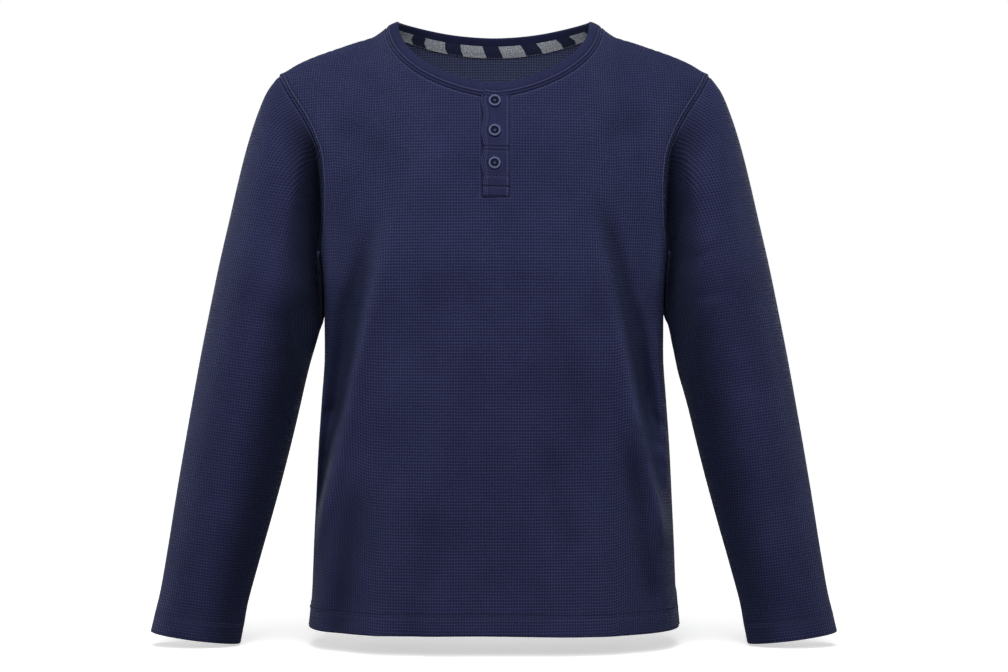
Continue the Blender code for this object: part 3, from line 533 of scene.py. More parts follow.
# %% [markdown]
# ## The sleeves
# A set-in sleeve is one piece of cloth, rolled into a tube and joined along its underside. Its top edge
# is the armhole, which is not level, so the rings start as the armhole's own curve and turn into plain
# rings on the way down. Where the arm hangs against the body, the cloth of the sleeve is pressed flat
# and lies just clear of the side.

# %% Sleeve sizes
Ring = namedtuple("Ring", "outer_x outer_z inner_x inner_z front back middle")
RINGS = table(Ring, TENTHS, (
    (2260, -570, 1810, -2520, 520, 540, 0), (2385, -745, 1800, -2560, 540, 560, 0),
    (2475, -960, 1760, -2605, 570, 590, 0), (2585, -1300, 1700, -2680, 600, 620, 10),
    (2682, -1680, 1665, -2780, 620, 640, 20), (2775, -2080, 1660, -2920, 630, 650, 30),
    (2873, -2500, 1785, -3110, 630, 640, 40), (2970, -2965, 1892, -3360, 600, 620, 40),
    (3070, -3470, 1980, -3780, 570, 580, 30), (3165, -4000, 2088, -4260, 530, 540, 10),
    (3250, -4500, 2203, -4730, 490, 500, -20), (3330, -5000, 2325, -5190, 430, 440, -60),
    (3405, -5500, 2455, -5660, 380, 380, -100), (3485, -5980, 2572, -6110, 330, 330, -140),
    (3530, -6170, 2602, -6290, 315, 315, -155), (3575, -6365, 2640, -6495, 310, 310, -170),
))
SLEEVE_SQUARENESS = 2.15
ARMHOLE_FADE = 0.30
SIDE_CLEARANCE, SIDE_SOFTNESS, WALL_END = 0.0014, 0.0010, 0.98
PRESS_ABOVE, PRESS_FADE, PRESS_START = 0.036, 0.020, 0.03
HOLLOW_START, HOLLOW_WIDE = 0.0050, 0.0360
HOLLOW_TOP, HOLLOW_FOOT = -0.104, -0.440
HOLLOW_TOP_FADE, HOLLOW_FOOT_FADE, HOLLOW_NARROW = 0.115, 0.140, 0.40
HOLLOW_SHARES = (0.90, 0.80)
INNER_PINCH, PINCH_UNTIL = 0.16, 0.3
FOLD_RISE = 2.5
SLEEVE_AXIS = unit(np.array([0.205, 0.0, -0.979]))

SleeveFold = namedtuple("SleeveFold", "along_1 around_1 along_2 around_2 width height")
# Along the sleeve in hundredths of it, around it in degrees, wide in thousandths of the sleeve, and high
# in tenths of a millimetre.
SLEEVE_UNITS = (100, 1, 100, 1, 1000, TENTHS)
SLEEVE_FOLDS = {
    "right": table(SleeveFold, SLEEVE_UNITS, (
        (10, 150, 36, 62, 60, -30), (30, 172, 50, 95, 45, -34), (38, 165, 52, 200, 40, 32),
        (55, 158, 66, 96, 40, -26), (12, 215, 34, 290, 60, -36), (46, 205, 60, 275, 45, -34),
    )),
    "left": table(SleeveFold, SLEEVE_UNITS, (
        (9, 148, 30, 70, 55, -34), (26, 165, 44, 100, 45, -34), (42, 170, 56, 205, 45, 32),
        (60, 150, 72, 88, 42, -26), (14, 212, 38, 285, 60, -36), (50, 200, 66, 270, 45, -34),
    )),
}
SLEEVE_CREASES = {
    "right": table(SleeveFold, SLEEVE_UNITS, (
        (-4, 122, 30, 166, 40, -60), (44, 128, 47, 76, 12, -11), (49, 140, 53, 92, 10, -13),
        (70, 120, 73, 60, 13, -9), (40, 300, 44, 232, 12, -14), (57, 290, 60, 226, 11, -12),
    )),
    "left": table(SleeveFold, SLEEVE_UNITS, (
        (-4, 120, 28, 164, 40, -56), (8, 96, 22, 128, 18, -22), (30, 122, 33, 68, 11, -14),
        (38, 130, 42, 78, 10, -15), (55, 118, 57, 64, 12, -10), (36, 296, 40, 236, 12, -14),
        (52, 288, 55, 222, 11, -13),
    )),
}


def ring_columns():
    """Each column of the sleeve's rings as a smooth function of the share along the sleeve."""
    placed = namedtuple("Placed", ("along",) + Ring._fields)
    rows = [placed(i / (len(RINGS) - 1), *ring) for i, ring in enumerate(RINGS)]
    return {column: curve(rows, "along", column) for column in Ring._fields}


ring_column = ring_columns()
print("%d rings and %d creases on each sleeve" % (len(RINGS), len(SLEEVE_CREASES["left"])))


# %% Sleeve surface
def armhole_point(around):
    """The armhole seam at an angle from the shoulder, growing down the front and up the back."""
    z = ARMHOLE_MID + ARMHOLE_HALF * np.cos(around)
    both = [body_point(armhole_x[side](z), z, side) for side in FACING]
    return np.where((np.sin(around) >= 0)[..., None], *both)


def ring_point(around, along):
    """A point of the plain sleeve, whose rings are nearly elliptical."""
    outer = np.stack([ring_column["outer_x"](along), ring_column["outer_z"](along)], axis=-1)
    inner = np.stack([ring_column["inner_x"](along), ring_column["inner_z"](along)], axis=-1)
    power = 2 / SLEEVE_SQUARENESS
    swing = np.sign(np.cos(around)) * np.abs(np.cos(around)) ** power
    reach = np.sign(np.sin(around)) * np.abs(np.sin(around)) ** power
    seen = (outer + inner) / 2 + (outer - inner) / 2 * swing[..., None]
    half = np.where(reach > 0, ring_column["front"](along), ring_column["back"](along))
    half = half * (1 - INNER_PINCH * np.clip(-np.cos(around), 0, 1) * ease(along / PINCH_UNTIL))
    y = ring_column["middle"](along) - half * reach
    return np.stack([seen[..., 0], y, seen[..., 1]], axis=-1)


def sleeve_fold_height(around, along, wearer_side):
    """How far a sleeve's folds lift the cloth."""
    lifted = np.zeros(around.shape)
    turn = (around / (2 * math.pi)) % 1
    for fold in SLEEVE_FOLDS[wearer_side] + SLEEVE_CREASES[wearer_side]:
        run = np.array([fold.along_2 - fold.along_1, (fold.around_2 - fold.around_1) / 360])
        length = np.linalg.norm(run)
        past, beside = along - fold.along_1, turn - fold.around_1 / 360
        share = (past * run[0] + beside * run[1]) / length**2
        off = (past * run[1] - beside * run[0]) / length
        ends = ease(share * FOLD_RISE) * ease((1 - share) * FOLD_RISE)
        lifted += fold.height * np.exp(-((off / fold.width) ** 2)) * ends
    return lifted


def beside_body(point, along):
    """The sleeve's points under the arm are pushed out to lie just clear of the body's side."""
    z, y = point[..., 2], point[..., 1]
    depth = np.where(y < 0, *(full_depth[side](z) for side in FACING))
    out = np.clip(np.abs(y) / depth, 0, WALL_END)
    wall = half_width(z) * (1 - out**SQUARENESS) ** (1 / SQUARENESS) + SIDE_CLEARANCE
    half_gap = (point[..., 0] - wall) / 2
    pushed = point.copy()
    pushed[..., 0] = wall + half_gap + np.sqrt(half_gap**2 + SIDE_SOFTNESS**2)
    weight = ease((UNDERARM_Z + PRESS_ABOVE - z) / PRESS_FADE) * ease(along / PRESS_START)
    return mix(point, pushed, weight[..., None])


def off_body(point):
    """How far outside the armhole seam, or further down the body's side, a sleeve's point is."""
    x, y, z = (point[..., axis] for axis in range(3))
    seam = np.where(y < 0, *(armhole_x[side](z) for side in FACING))
    return x - np.where(z > UNDERARM_Z, seam, half_width(z))


def armpit_hollow(point):
    """Beside the armhole and the body's side the sleeve's cloth falls back into a deep hollow."""
    y, z = point[..., 1], point[..., 2]
    off = off_body(point)
    level = ease((HOLLOW_TOP - z) / HOLLOW_TOP_FADE) * ease((z - HOLLOW_FOOT) / HOLLOW_FOOT_FADE)
    wide = HOLLOW_WIDE * (HOLLOW_NARROW + 0.60 * level)
    share = np.where(y < 0, *HOLLOW_SHARES) * level * ease(off / HOLLOW_START) * (1 - ease(off / wide))
    sunk = point.copy()
    sunk[..., 1] = y * (1 - share)
    return sunk


def sleeve_point(around, along, wearer_side):
    """A point of the left sleeve's outer surface. The right sleeve is its mirror with its own folds."""
    around, along = np.broadcast_arrays(around, along)
    plain = ring_point(around, along)
    fade = np.clip(1 - along / ARMHOLE_FADE, 0, 1)[..., None] ** 2
    point = plain + fade * (armhole_point(around) - ring_point(around, np.zeros(along.shape)))
    outer, inner = np.zeros(along.shape), np.full(along.shape, math.pi)
    middle = (ring_point(outer, along) + ring_point(inner, along)) / 2
    point = point + sleeve_fold_height(around, along, wearer_side)[..., None] * unit(point - middle)
    return beside_body(armpit_hollow(point), along)


# %% [markdown]
# ## Seams that draw the cloth in
# At a seam both cloths turn inwards to their stitching, and a twin-needle row presses a shallow groove
# that puckers a little. Bump shading would leave the outline smooth, so the points themselves are moved:
# every point knows how far it is from the nearest seam, and it sinks by an amount that dies out within
# a few millimetres. Points that two pieces share sink the same way, and the seam stays closed.

# %% Seam sizes
SEAM_SINK, SEAM_REACH = 0.0011, 0.0022
ROW_SINK, ROW_REACH = 0.00050, 0.0008
ALLOWANCE_HEIGHT, ALLOWANCE_SOFTNESS, ALLOWANCE_RISE = 0.00065, 0.0006, 0.0016
PUCKER_HEIGHT, PUCKER_REACH = 0.00030, 0.0075
PUCKER_WAVES = ((1, 890, 0), (0.7, 571, 1.3), (0.5, 1490, 0.4))
STITCH_ROWS = {"neck": (0.0016,), "armhole": (0.0014, 0.0050), "shoulder": (0.0034,),
               "hem": (0.0173, 0.0199)}
SEAM_FILL, SAME_POINT, SAME_WAY = 8, 1e-4, 0.98


def fill_line(line, count=SEAM_FILL):
    """More places between those of a line, an array with a place in each row."""
    share = np.linspace(0, len(line) - 1, (len(line) - 1) * count + 1)
    low = np.minimum(share.astype(int), len(line) - 2)
    return mix(line[low], line[low + 1], (share - low)[:, None])


def search_tree(places):
    tree = KDTree(len(places))
    for number, place in enumerate(places):
        tree.insert(place, number)
    tree.balance()
    return tree


def nearest(points, line):
    """For each point the distance to a line, and which of the line's places is nearest."""
    tree = search_tree(line)
    _, places, distances = zip(*(tree.find(point) for point in points.reshape(-1, 3)))
    return np.reshape(distances, points.shape[:-1]), np.reshape(places, points.shape[:-1])


def shared_normals(pieces):
    """Where the edges of pieces meet, the normal that they share, by piece and edge."""
    edges = [(piece, name) for piece in pieces for name in piece.edges]
    places = [(edge, number) for edge in edges for number in range(len(edge[0].edge_points(edge[1])))]
    tree = search_tree([piece.edge_points(name)[number] for (piece, name), number in places])
    shared = {(id(piece), name): piece.edge_normals(name).copy() for piece, name in edges}
    for (piece, name), number in places:
        distinct = []
        for _, at, _ in tree.find_range(piece.edge_points(name)[number], SAME_POINT):
            (other, other_name), other_number = places[at]
            normal = other.edge_normals(other_name)[other_number]
            if all(normal @ known < SAME_WAY for known in distinct):
                distinct.append(normal)
        shared[id(piece), name][number] = unit(sum(distinct))
    return shared


class Cloth:
    """A piece of cloth on a grid: its points, normals and flat chart, its named edges, whether its
    seams have stitch rows, and its painted shading: painted light on crests (above 0) and painted
    shade in troughs and under the arms (below 0)."""

    def __init__(self, points, normals, chart, edges, stitched=False, wear=None):
        self.points, self.normals, self.chart = points, normals, chart
        self.edges, self.stitched = edges, stitched
        self.distances, self.beside = {}, None
        self.wear = np.zeros(points.shape[:-1]) if wear is None else wear

    def edge_points(self, name):
        return self.points[self.edges[name]]

    def edge_normals(self, name):
        return self.normals[self.edges[name]]


def pucker(place, reach):
    """Uneven small waves along a seam, from a few waves that don't fit together."""
    return sum(size * np.sin(place * pace + start) for size, pace, start in PUCKER_WAVES) * 0.5 * reach


def sink_seams(pieces):
    """Draws every piece in at its seams and stitch rows."""
    shared = shared_normals(pieces)
    for piece in pieces:
        moved = np.zeros_like(piece.points)
        for name in piece.edges:
            line = fill_line(piece.edge_points(name))
            normals = unit(fill_line(shared[id(piece), name]))
            distance, at = nearest(piece.points, line)
            piece.distances[name] = distance
            kind = name.split()[0]
            run = lengths(line, 0)[at]
            if kind != "hem":
                closeness = np.exp(-((distance / SEAM_REACH) ** 2))
                away = unit(mix(piece.normals, normals[at], closeness[..., None]))
                deepest = np.maximum(SEAM_SINK * closeness - np.linalg.norm(moved, axis=-1), 0)
                moved -= deepest[..., None] * away
            rows = STITCH_ROWS.get(kind, ()) if piece.stitched else ()
            for row in rows:
                groove = ROW_SINK * np.exp(-(((distance - row) / ROW_REACH) ** 2))
                moved -= groove[..., None] * piece.normals
            if rows and kind != "hem":
                edge = (distance - rows[-1]) / ALLOWANCE_SOFTNESS
                raised = ALLOWANCE_HEIGHT * ease((1 - edge) / 2) * ease(distance / ALLOWANCE_RISE)
                moved += raised[..., None] * piece.normals
            if rows:
                near = np.exp(-(((distance - np.mean(rows)) / PUCKER_REACH) ** 2))
                moved += pucker(run, PUCKER_HEIGHT * near * (distance > 1e-6))[..., None] * piece.normals
        piece.points = piece.points + moved


# %% [markdown]
# ## Cut the four large pieces
# Each grid is worked out as an array first, so that all four can be drawn in at their common seams
# before any mesh is made.

# %% Panels and sleeves as arrays
SLEEVE_ROWS = 128
DIP, DIP_REACH, DIP_END = 0.0018, 0.0030, 0.006
SHADOW_SQUEEZE, SEWN_STRETCH, SEWN_FAINT = 0.70, 1.6, 0.0005
# Painted light on the creases' crests, and painted shade in their troughs, on the sleeves' inner sides and
# under the arms.
SHADING_CREASE_HEIGHT, TROUGH_SHADE_MOST = 0.0135, 0.42
INNER_SLEEVE_SHADE = {"left": 0.80, "right": 1.0}
UNDERARM_SHADE_WIDE, UNDERARM_SHADE_TOP, UNDERARM_SHADE_FADE = 0.048, -0.080, 0.060
INNER_FADE, INNER_FROM, WRIST_SHADE_FADE = 0.80, 0.12, 0.40
SLEEVE_TOP_STEPS = (0, 0.0016, 0.0034, 0.0054, 0.0076, 0.0100)
HEM_ROW_LENGTH = 0.0198 * (len(RINGS) - 1)


def panel_cloth(side):
    right = -half_places[::-1] if side == "front" else -half_places[:0:-1]
    across, down = np.meshgrid(np.concatenate([np.minimum(right, -1e-9), half_places]), row_places)
    x, z = panel_place(across, down, side)
    normals = surface_normals(lambda u, v: panel_point(u, v, side), across, down, (-1, 1), (0, 1), 1e-4)
    half, armhole = len(half_places), ARMHOLE_ROWS + 1
    last = across.shape[1] - 1
    in_neck = np.flatnonzero(half_places <= NECK_SHARE + 1e-9)
    beyond = np.flatnonzero(half_places >= NECK_SHARE - 1e-9)
    middle = half if side == "front" else half - 1
    edges = {}
    for name, part in (("neck", in_neck), ("shoulder", beyond)):
        edges[name + " left"], edges[name + " right"] = (0, middle + part), (0, last - middle - part)
    for name, part in (("armhole", slice(0, armhole)), ("side", slice(armhole - 1, None))):
        edges[name + " left"], edges[name + " right"] = (part, last), (part, 0)
    edges["hem"] = (len(row_places) - 1, slice(None))
    normals = normals * FACING[side]
    points = body_point(x, z, side)
    if side == "front":
        beside = np.exp(-(((x + SLOT_EDGES[0]) / DIP_REACH) ** 2)) * (x < 0)
        points = points - (DIP * beside * ease((z - PLACKET_END_Z) / DIP_END))[..., None] * normals
    # Painted light on the creases' crests and painted shade in their troughs.
    wear = np.clip(crease_height(x, z, side) / SHADING_CREASE_HEIGHT, -TROUGH_SHADE_MOST, 1)
    cloth = Cloth(points, normals, flat_chart(x, z, side), edges, True, wear)
    # Distances for a painted shadow beside the opening's free edge, and a faint painted line beside its sewn
    # edge.
    if side == "front":
        free_side, sewn_side = -SLOT_EDGES[0] - x, (x - SLOT_EDGES[1]) * SEWN_STRETCH + SEWN_FAINT
        aside = np.maximum(np.maximum(free_side * SHADOW_SQUEEZE, sewn_side), 0)
        cloth.beside = np.hypot(aside, np.maximum(PLACKET_END_Z - z, 0))
    return cloth


def sleeve_cloth(wearer_side):
    quarter = math.pi * armhole_places / ARMHOLE_SHARE
    angles = np.concatenate([quarter[::-1] * -1, quarter[1:]])
    hem = 1 - np.array(HEM_STEPS) / HEM_ROW_LENGTH
    start = np.array(SLEEVE_TOP_STEPS)
    rest = np.linspace(start[-1], hem[0], SLEEVE_ROWS)[1:-1]
    around, along = np.meshgrid(angles, np.concatenate([start, rest, hem]))

    def surface(u, v):
        return sleeve_point(u % (2 * math.pi), v, wearer_side)

    points = surface(around, along)
    normals = surface_normals(surface, around, along, (-4, 4), (0, 1), 0.02)
    flattened = points - (points @ SLEEVE_AXIS)[..., None] * SLEEVE_AXIS
    run = lengths(flattened, 1)
    up = lengths(points[::-1], 0)[::-1]
    chart = np.stack([run - run[:, [len(quarter) - 1]], up], axis=-1)
    flip = np.array([-1, 1, 1]) if wearer_side == "right" else np.array([1, 1, 1])
    edges = {
        "armhole": (0, slice(None)),
        "underside front": (slice(None), len(angles) - 1),
        "underside back": (slice(None), 0),
        "hem": (len(around) - 1, slice(None)),
    }
    # Painted shade on the sleeve's inner side, weaker towards the wrist, and under the arm beside the body.
    inner = ease((0.05 - np.cos(around)) / INNER_FADE) * ease(along / INNER_FROM)
    inner = inner * (1 - WRIST_SHADE_FADE * along)
    z = points[..., 2]
    under_arm = ease((UNDERARM_SHADE_TOP - z) / UNDERARM_SHADE_FADE) * ease((z - HOLLOW_FOOT) / HOLLOW_FOOT_FADE)
    under_arm = under_arm * (1 - ease(off_body(points) / UNDERARM_SHADE_WIDE))
    wear = -INNER_SLEEVE_SHADE[wearer_side] * np.maximum(inner, under_arm)
    return Cloth(points * flip, normals * flip, chart, edges, False, wear)


panels = {side: panel_cloth(side) for side in FACING}
sleeves = {side: sleeve_cloth(side) for side in ("left", "right")}
for name, cloth in (*panels.items(), *sleeves.items()):
    print("%s: %d by %d points" % (name, *cloth.points.shape[:2]))

# %% [markdown]
# ## The neckband
# The band is a strip of jersey folded in half along its length. Its open edges are caught in the neck
# seam and its fold is the round upper edge. The strip is drawn here as a profile that goes up the outside,
# over the fold and down the inside, repeated at places along the neck seam. At the front the band ends
# on top of itself, with the slanting end that the photo shows.

# %% Neckband as an array
BAND_WIDTH = 0.015
SIDE_LEAN, FRONT_LEAN, BACK_LEAN = 0.89, 0.25, 0.40
PLACKET_LIFT, UNDER_SLOPE = 0.0023, 0.006
UNDER_EDGES = (-0.0107, 0.0150)
BAND_SLANT, SLANT_REACH, SLANT_POWER = 0.0078, 0.024, 1.5
BENEATH_PLACES, ON_TOP_PLACES, OVERLAP_INSET = 14, 15, 0.001
BandPlace = namedtuple("BandPlace", "up out")
BAND_PROFILE = table(BandPlace, HUNDREDTHS, (
    (0, 0), (60, 35), (160, 60), (350, 85), (600, 100), (900, 98), (1150, 80), (1320, 50),
    (1430, 5), (1490, -55), (1500, -105), (1470, -160), (1400, -200), (1200, -222), (850, -226), (450, -215),
    (150, -205), (0, -200),
))


def neck_seam(turn):
    """The neck seam's point at an angle from the middle of the front, growing to the left."""
    x = NECK_HALF * np.sin(turn)
    both = [body_point(x, neck_z(np.abs(x), side), side) for side in FACING]
    return np.where((np.cos(turn) > -1e-9)[..., None], *both)


def band_rise(turn):
    """The way the neckband stands on the neck seam: up, and leaning in over the neck."""
    lean = np.where(np.cos(turn) > 0, FRONT_LEAN, -BACK_LEAN)
    sideways, inwards = -SIDE_LEAN * np.sin(turn), lean * np.abs(np.cos(turn))
    return np.stack([sideways, inwards, np.sqrt(1 - sideways**2 - inwards**2)], axis=-1)


def band_facing(turn):
    run = unit(neck_seam(turn + 1e-3) - neck_seam(turn - 1e-3))
    return unit(np.cross(run, band_rise(turn)))


def body_facing(x, z, side):
    """The body's outward normal at a place on a panel."""
    step = 1e-4
    run_x = body_point(x + step, z, side) - body_point(x - step, z, side)
    run_z = body_point(x, z, side) - body_point(x, z - step, side)
    facing = unit(np.cross(run_x, run_z))
    return facing * np.sign(facing[..., 1:2] * FACING[side])


def over_level(x):
    return PLACKET_LIFT * ease((OVER_EDGES[1] - x) / (OVER_EDGES[1] - OVER_EDGES[0]))


def under_level(x):
    return -PLACKET_LIFT * ease((x - UNDER_EDGES[0]) / UNDER_SLOPE)


def strip_chart(run, height):
    """The flat chart of a long strip, with its zero in the middle."""
    return np.stack(np.meshgrid(run - run[-1] / 2, height), axis=-1)


def neckband_cloth():
    right, left = np.arcsin(np.array(SLOT_EDGES) / NECK_HALF)
    beneath = np.linspace(UNDER_EDGES[1], UNDER_EDGES[0] + OVERLAP_INSET, BENEATH_PLACES)
    on_top = np.linspace(OVER_EDGES[1] - OVERLAP_INSET, OVER_EDGES[0], ON_TOP_PLACES)
    quarter = neck_places / NECK_SHARE
    front_right = -mix(right, math.pi / 2, quarter)
    behind = -mix(math.pi / 2, math.pi, quarter)[1:]
    front_left = -2 * math.pi + mix(left, math.pi / 2, quarter)[::-1]
    whole = np.concatenate([front_right, behind, -2 * math.pi - behind[::-1][1:], front_left])
    turns = np.concatenate([np.arcsin(beneath / NECK_HALF), whole,
                            np.arcsin(on_top / NECK_HALF) - 2 * math.pi])
    level = np.concatenate([under_level(beneath), np.zeros(len(whole)), over_level(on_top)])
    seam, rise, facing = neck_seam(turns), band_rise(turns), band_facing(turns)
    up, out = (np.array(column)[:, None, None] for column in zip(*BAND_PROFILE))
    x = NECK_HALF * np.sin(turns)
    beside = body_facing(x, neck_z(np.abs(x), "front"), "front")
    points = seam + up * rise + out * facing + level[:, None] * beside
    slant = BAND_SLANT * ease((SLANT_REACH + OVER_EDGES[0] - x) / SLANT_REACH) * (level > 0)
    points[..., 0] += slant * (up[..., 0] / BAND_WIDTH) ** SLANT_POWER
    normals = np.broadcast_to(facing, points.shape).copy()
    run = lengths(seam, 0)
    height = lengths(np.stack([up[:, 0, 0], out[:, 0, 0]], axis=-1), 0)
    chart = strip_chart(run, height)
    sewn = np.arange(len(beneath), len(beneath) + len(whole))
    return Cloth(points, normals, chart, {"band": (0, sewn)})


neckband = neckband_cloth()
cloths = [*panels.values(), *sleeves.values(), neckband]
sink_seams(cloths)
print("neckband %.0f mm long" % (1000 * np.ptp(neckband.chart[..., 0])))

# %% [markdown]
# ## From arrays to cloth
# A grid primitive is added flat, its points are moved onto the array, and its UV map gets the flat chart
# in metres, so that a knit keeps its size all over. At a hem the cloth is turned up inside: the last rows
# are repeated upwards, one thickness further in. Then Solidify gives the sheet its wall, on the inside.

# %% Marks of the seams
FAR = 0.1


def seam_marks(cloth):
    """Distances from the armhole, whose seam has two stitch rows, from the other seams and the painted
    shadow beside the opening, and from the hem's edge, which place painted shade and highlight lines,
    with the painted shading as a fourth column."""
    far = np.full(cloth.points.shape[:2], FAR)
    double, plain = far, far
    for name, distance in cloth.distances.items():
        kind = name.split()[0]
        if cloth.stitched and kind == "armhole":
            double = np.minimum(double, distance)
        elif kind != "hem":
            plain = np.minimum(plain, distance)
    if cloth.beside is not None:
        plain = np.minimum(plain, cloth.beside)
    return np.stack([double, plain, cloth.distances.get("hem", far), cloth.wear], axis=-1)


# %% Sheet maker
HEM_FOLD = 0.0019
HEM_ALLOWANCE = 0.0228
FOLD_ANGLES, FOLD_RUNS, FOLD_LENGTH = (45, 90, 135), (0.0005, 0.0015, 0.0025), 0.003
CLOTH_WALL = 0.0014
SMOOTH_CLOTH = math.radians(50)


def turn_up_hem(points, normals, chart, marks):
    """Adds the hem's round fold and the layer turned up inside it."""
    down = unit(points[-1] - points[-2])
    radius = HEM_FOLD / 2
    middle = points[-1] - radius * normals[-1]
    fold = [middle + radius * (normals[-1] * math.cos(a) + down * math.sin(a))
            for a in map(math.radians, FOLD_ANGLES)]
    rows = [i for i, step in enumerate(HEM_STEPS[::-1]) if step <= HEM_ALLOWANCE]
    inside = [points[-1 - i] - HEM_FOLD * normals[-1 - i] for i in rows]
    flat = [chart[-1] - np.array([0, step]) for step in FOLD_RUNS]
    back = [chart[-1] - np.array([0, FOLD_LENGTH + HEM_STEPS[-1 - i]]) for i in rows]
    repeated = [marks[-1]] * len(fold) + [marks[-1 - i] for i in rows]
    return (np.concatenate([points, fold, inside]), np.concatenate([chart, flat, back]),
            np.concatenate([marks, repeated]))


def add_attribute(mesh, name, kind, values):
    field = "vector" if kind == "FLOAT_VECTOR" else "value"
    layer = mesh.attributes.new(name, kind, "POINT")
    layer.data.foreach_set(field, values.astype(np.float32).ravel())


def make_sheet(name, points, normals, chart, wall, marks=None):
    """A grid primitive bent onto the points, with its flat chart and its wall on the inside.

    marks are distances from seams in metres, which place painted shade and highlight lines, and in
    a fourth column the painted shading: painted light on crests and painted shade in troughs and
    under the arms. Both are kept as attributes that the cloth's material reads, and so is which side
    of the wall is the reverse."""
    rows, columns = points.shape[:2]
    deselect()
    bpy.ops.mesh.primitive_grid_add(x_subdivisions=columns - 1, y_subdivisions=rows - 1, size=2)
    piece = bpy.context.object
    piece.name = piece.data.name = name
    mesh = piece.data
    mesh.vertices.foreach_set("co", points.astype(np.float32).ravel())
    corners = np.zeros(len(mesh.loops), dtype=np.int32)
    mesh.loops.foreach_get("vertex_index", corners)
    flat = chart.reshape(-1, 2)[corners]
    mesh.uv_layers.active.data.foreach_set("uv", flat.astype(np.float32).ravel())
    if marks is None:
        marks = np.full(points.shape, FAR)
    add_attribute(mesh, "seams", "FLOAT_VECTOR", marks[..., :3])
    painted_shading_values = marks[..., 3] if marks.shape[-1] > 3 else np.zeros(points.shape[:2])
    add_attribute(mesh, "wear", "FLOAT", painted_shading_values)
    mesh.update()
    facing = np.zeros(len(mesh.vertices) * 3, dtype=np.float32)
    mesh.vertices.foreach_get("normal", facing)
    outward = normals.reshape(-1, 3)
    if np.sum(facing.reshape(-1, 3)[: len(outward)] * outward) < 0:
        mesh.flip_normals()
    outer = len(mesh.vertices)
    thicken(piece, wall)
    add_attribute(mesh, "reverse", "FLOAT", np.arange(len(mesh.vertices)) >= outer)
    return piece


def thicken(piece, wall):
    solidify = piece.modifiers.new("wall", "SOLIDIFY")
    solidify.thickness = wall
    solidify.offset = -1
    solidify.use_quality_normals = True
    bpy.context.view_layer.objects.active = piece
    bpy.ops.object.modifier_apply(modifier=solidify.name)
    piece.select_set(True)
    bpy.ops.object.shade_smooth_by_angle(angle=SMOOTH_CLOTH)


def flat_area(points):
    """The area of a grid of points, in square metres."""
    a, b = points[1:, 1:] - points[:-1, :-1], points[1:, :-1] - points[:-1, 1:]
    return float(np.linalg.norm(np.cross(a, b), axis=-1).sum() / 2)


made, areas = {}, {}
for node, cloth in (("front_panel", panels["front"]), ("back_panel", panels["back"]),
                    ("sleeve_left", sleeves["left"]), ("sleeve_right", sleeves["right"])):
    points, chart, marks = turn_up_hem(cloth.points, cloth.normals, cloth.chart, seam_marks(cloth))
    made[node] = make_sheet(node + "_knit", points, cloth.normals, chart, CLOTH_WALL, marks)
    areas[node] = flat_area(points)
    print("%s: %.3f square metres, %d faces" % (node, areas[node], len(made[node].data.polygons)))

# %% The front's slot and the neckband
SLOT_FOOT = PLACKET_END_Z + 0.0015
BAND_WALL, BAND_ROW_SHIFT = 0.0008, 0.0004


def activate(piece):
    deselect()
    piece.select_set(True)
    bpy.context.view_layer.objects.active = piece


def edit(piece):
    activate(piece)
    bpy.ops.object.mode_set(mode="EDIT")
    bpy.ops.mesh.select_mode(type="FACE")
    bpy.ops.mesh.select_all(action="DESELECT")


def pick_faces(piece, wanted):
    """Selects the faces, in edit mode, that a test of their centre and normal wants."""
    bpy.ops.object.mode_set(mode="OBJECT")
    for face in piece.data.polygons:
        face.select = wanted(face.center, face.normal)
    bpy.ops.object.mode_set(mode="EDIT")


def in_slot(centre, normal):
    """The front's faces that the opening's strips cover."""
    return -SLOT_EDGES[0] < centre.x < SLOT_EDGES[1] and centre.z > SLOT_FOOT and centre.y < 0


edit(made["front_panel"])
pick_faces(made["front_panel"], in_slot)
bpy.ops.mesh.delete(type="FACE")
bpy.ops.object.mode_set(mode="OBJECT")

# Distances up the band, which place painted shade and highlight lines along its seam.
band_up = np.array([place.up for place in BAND_PROFILE])[:, None] + 0 * neckband.points[..., 0]
band_marks = np.stack([band_up + BAND_ROW_SHIFT, band_up, 0 * band_up + FAR], axis=-1)
made["neckband"] = make_sheet("neckband_jersey", neckband.points, neckband.normals[:4],
                              neckband.chart, BAND_WALL, band_marks)
areas["neckband"] = flat_area(neckband.points)
print("neckband: %.4f square metres" % areas["neckband"])

# %% [markdown]
# ## The buttoned opening
# Its upper side is a strip of jersey, folded along its free edge and sewn down along the other. The free
# edge bulges at each button and draws in between them, and cross rows of stitching pin the lower end.
# The strip beneath shows only as an edge, so it is plain.

# %% Strips of the opening
BUTTON_X = 0.0010
BUTTON_HEIGHTS = (-0.0925, -0.1232, -0.1566)
EDGE_WAVE, EDGE_SHIFT = 0.0014, 0.0008
WAVE_BELOW, WAVE_FADE = 0.026, 0.012
FREE_SIDE, FREE_REACH = 0.004, 0.0147
CROSS_REACH, END_SINK, END_REACH = 0.0010, 0.0013, 0.0016
OUTSIDE = -0.001
CROSS_ROWS = {-0.1388: 0.0007, -0.1426: 0.0005, -0.1693: 0.0003, -0.1800: 0.0013}
PILLOW = 0.0005
PILLOWS = ((-0.1693, -0.1426), (-0.1800, -0.1693), (-0.1893, -0.1800))
STRIP_ROWS = 160
SEWN_EDGE_X, BUTTON_SHADOW = 0.0140, 0.0064
StripPlace = namedtuple("StripPlace", "x out")
OVER_PROFILE = table(StripPlace, TENTHS, (
    (-20, -16), (-60, -16), (-95, -16), (-103, -13), (-108, -7), (-108, 0), (-104, 5), (-97, 8),
    (-88, 7), (-78, 2), (-68, 1), (-50, 3), (-20, 3), (10, 3), (40, 4), (70, 5),
    (100, 7), (122, 8), (136, 4), (146, 7), (155, 5), (161, 0), (165, -8),
))


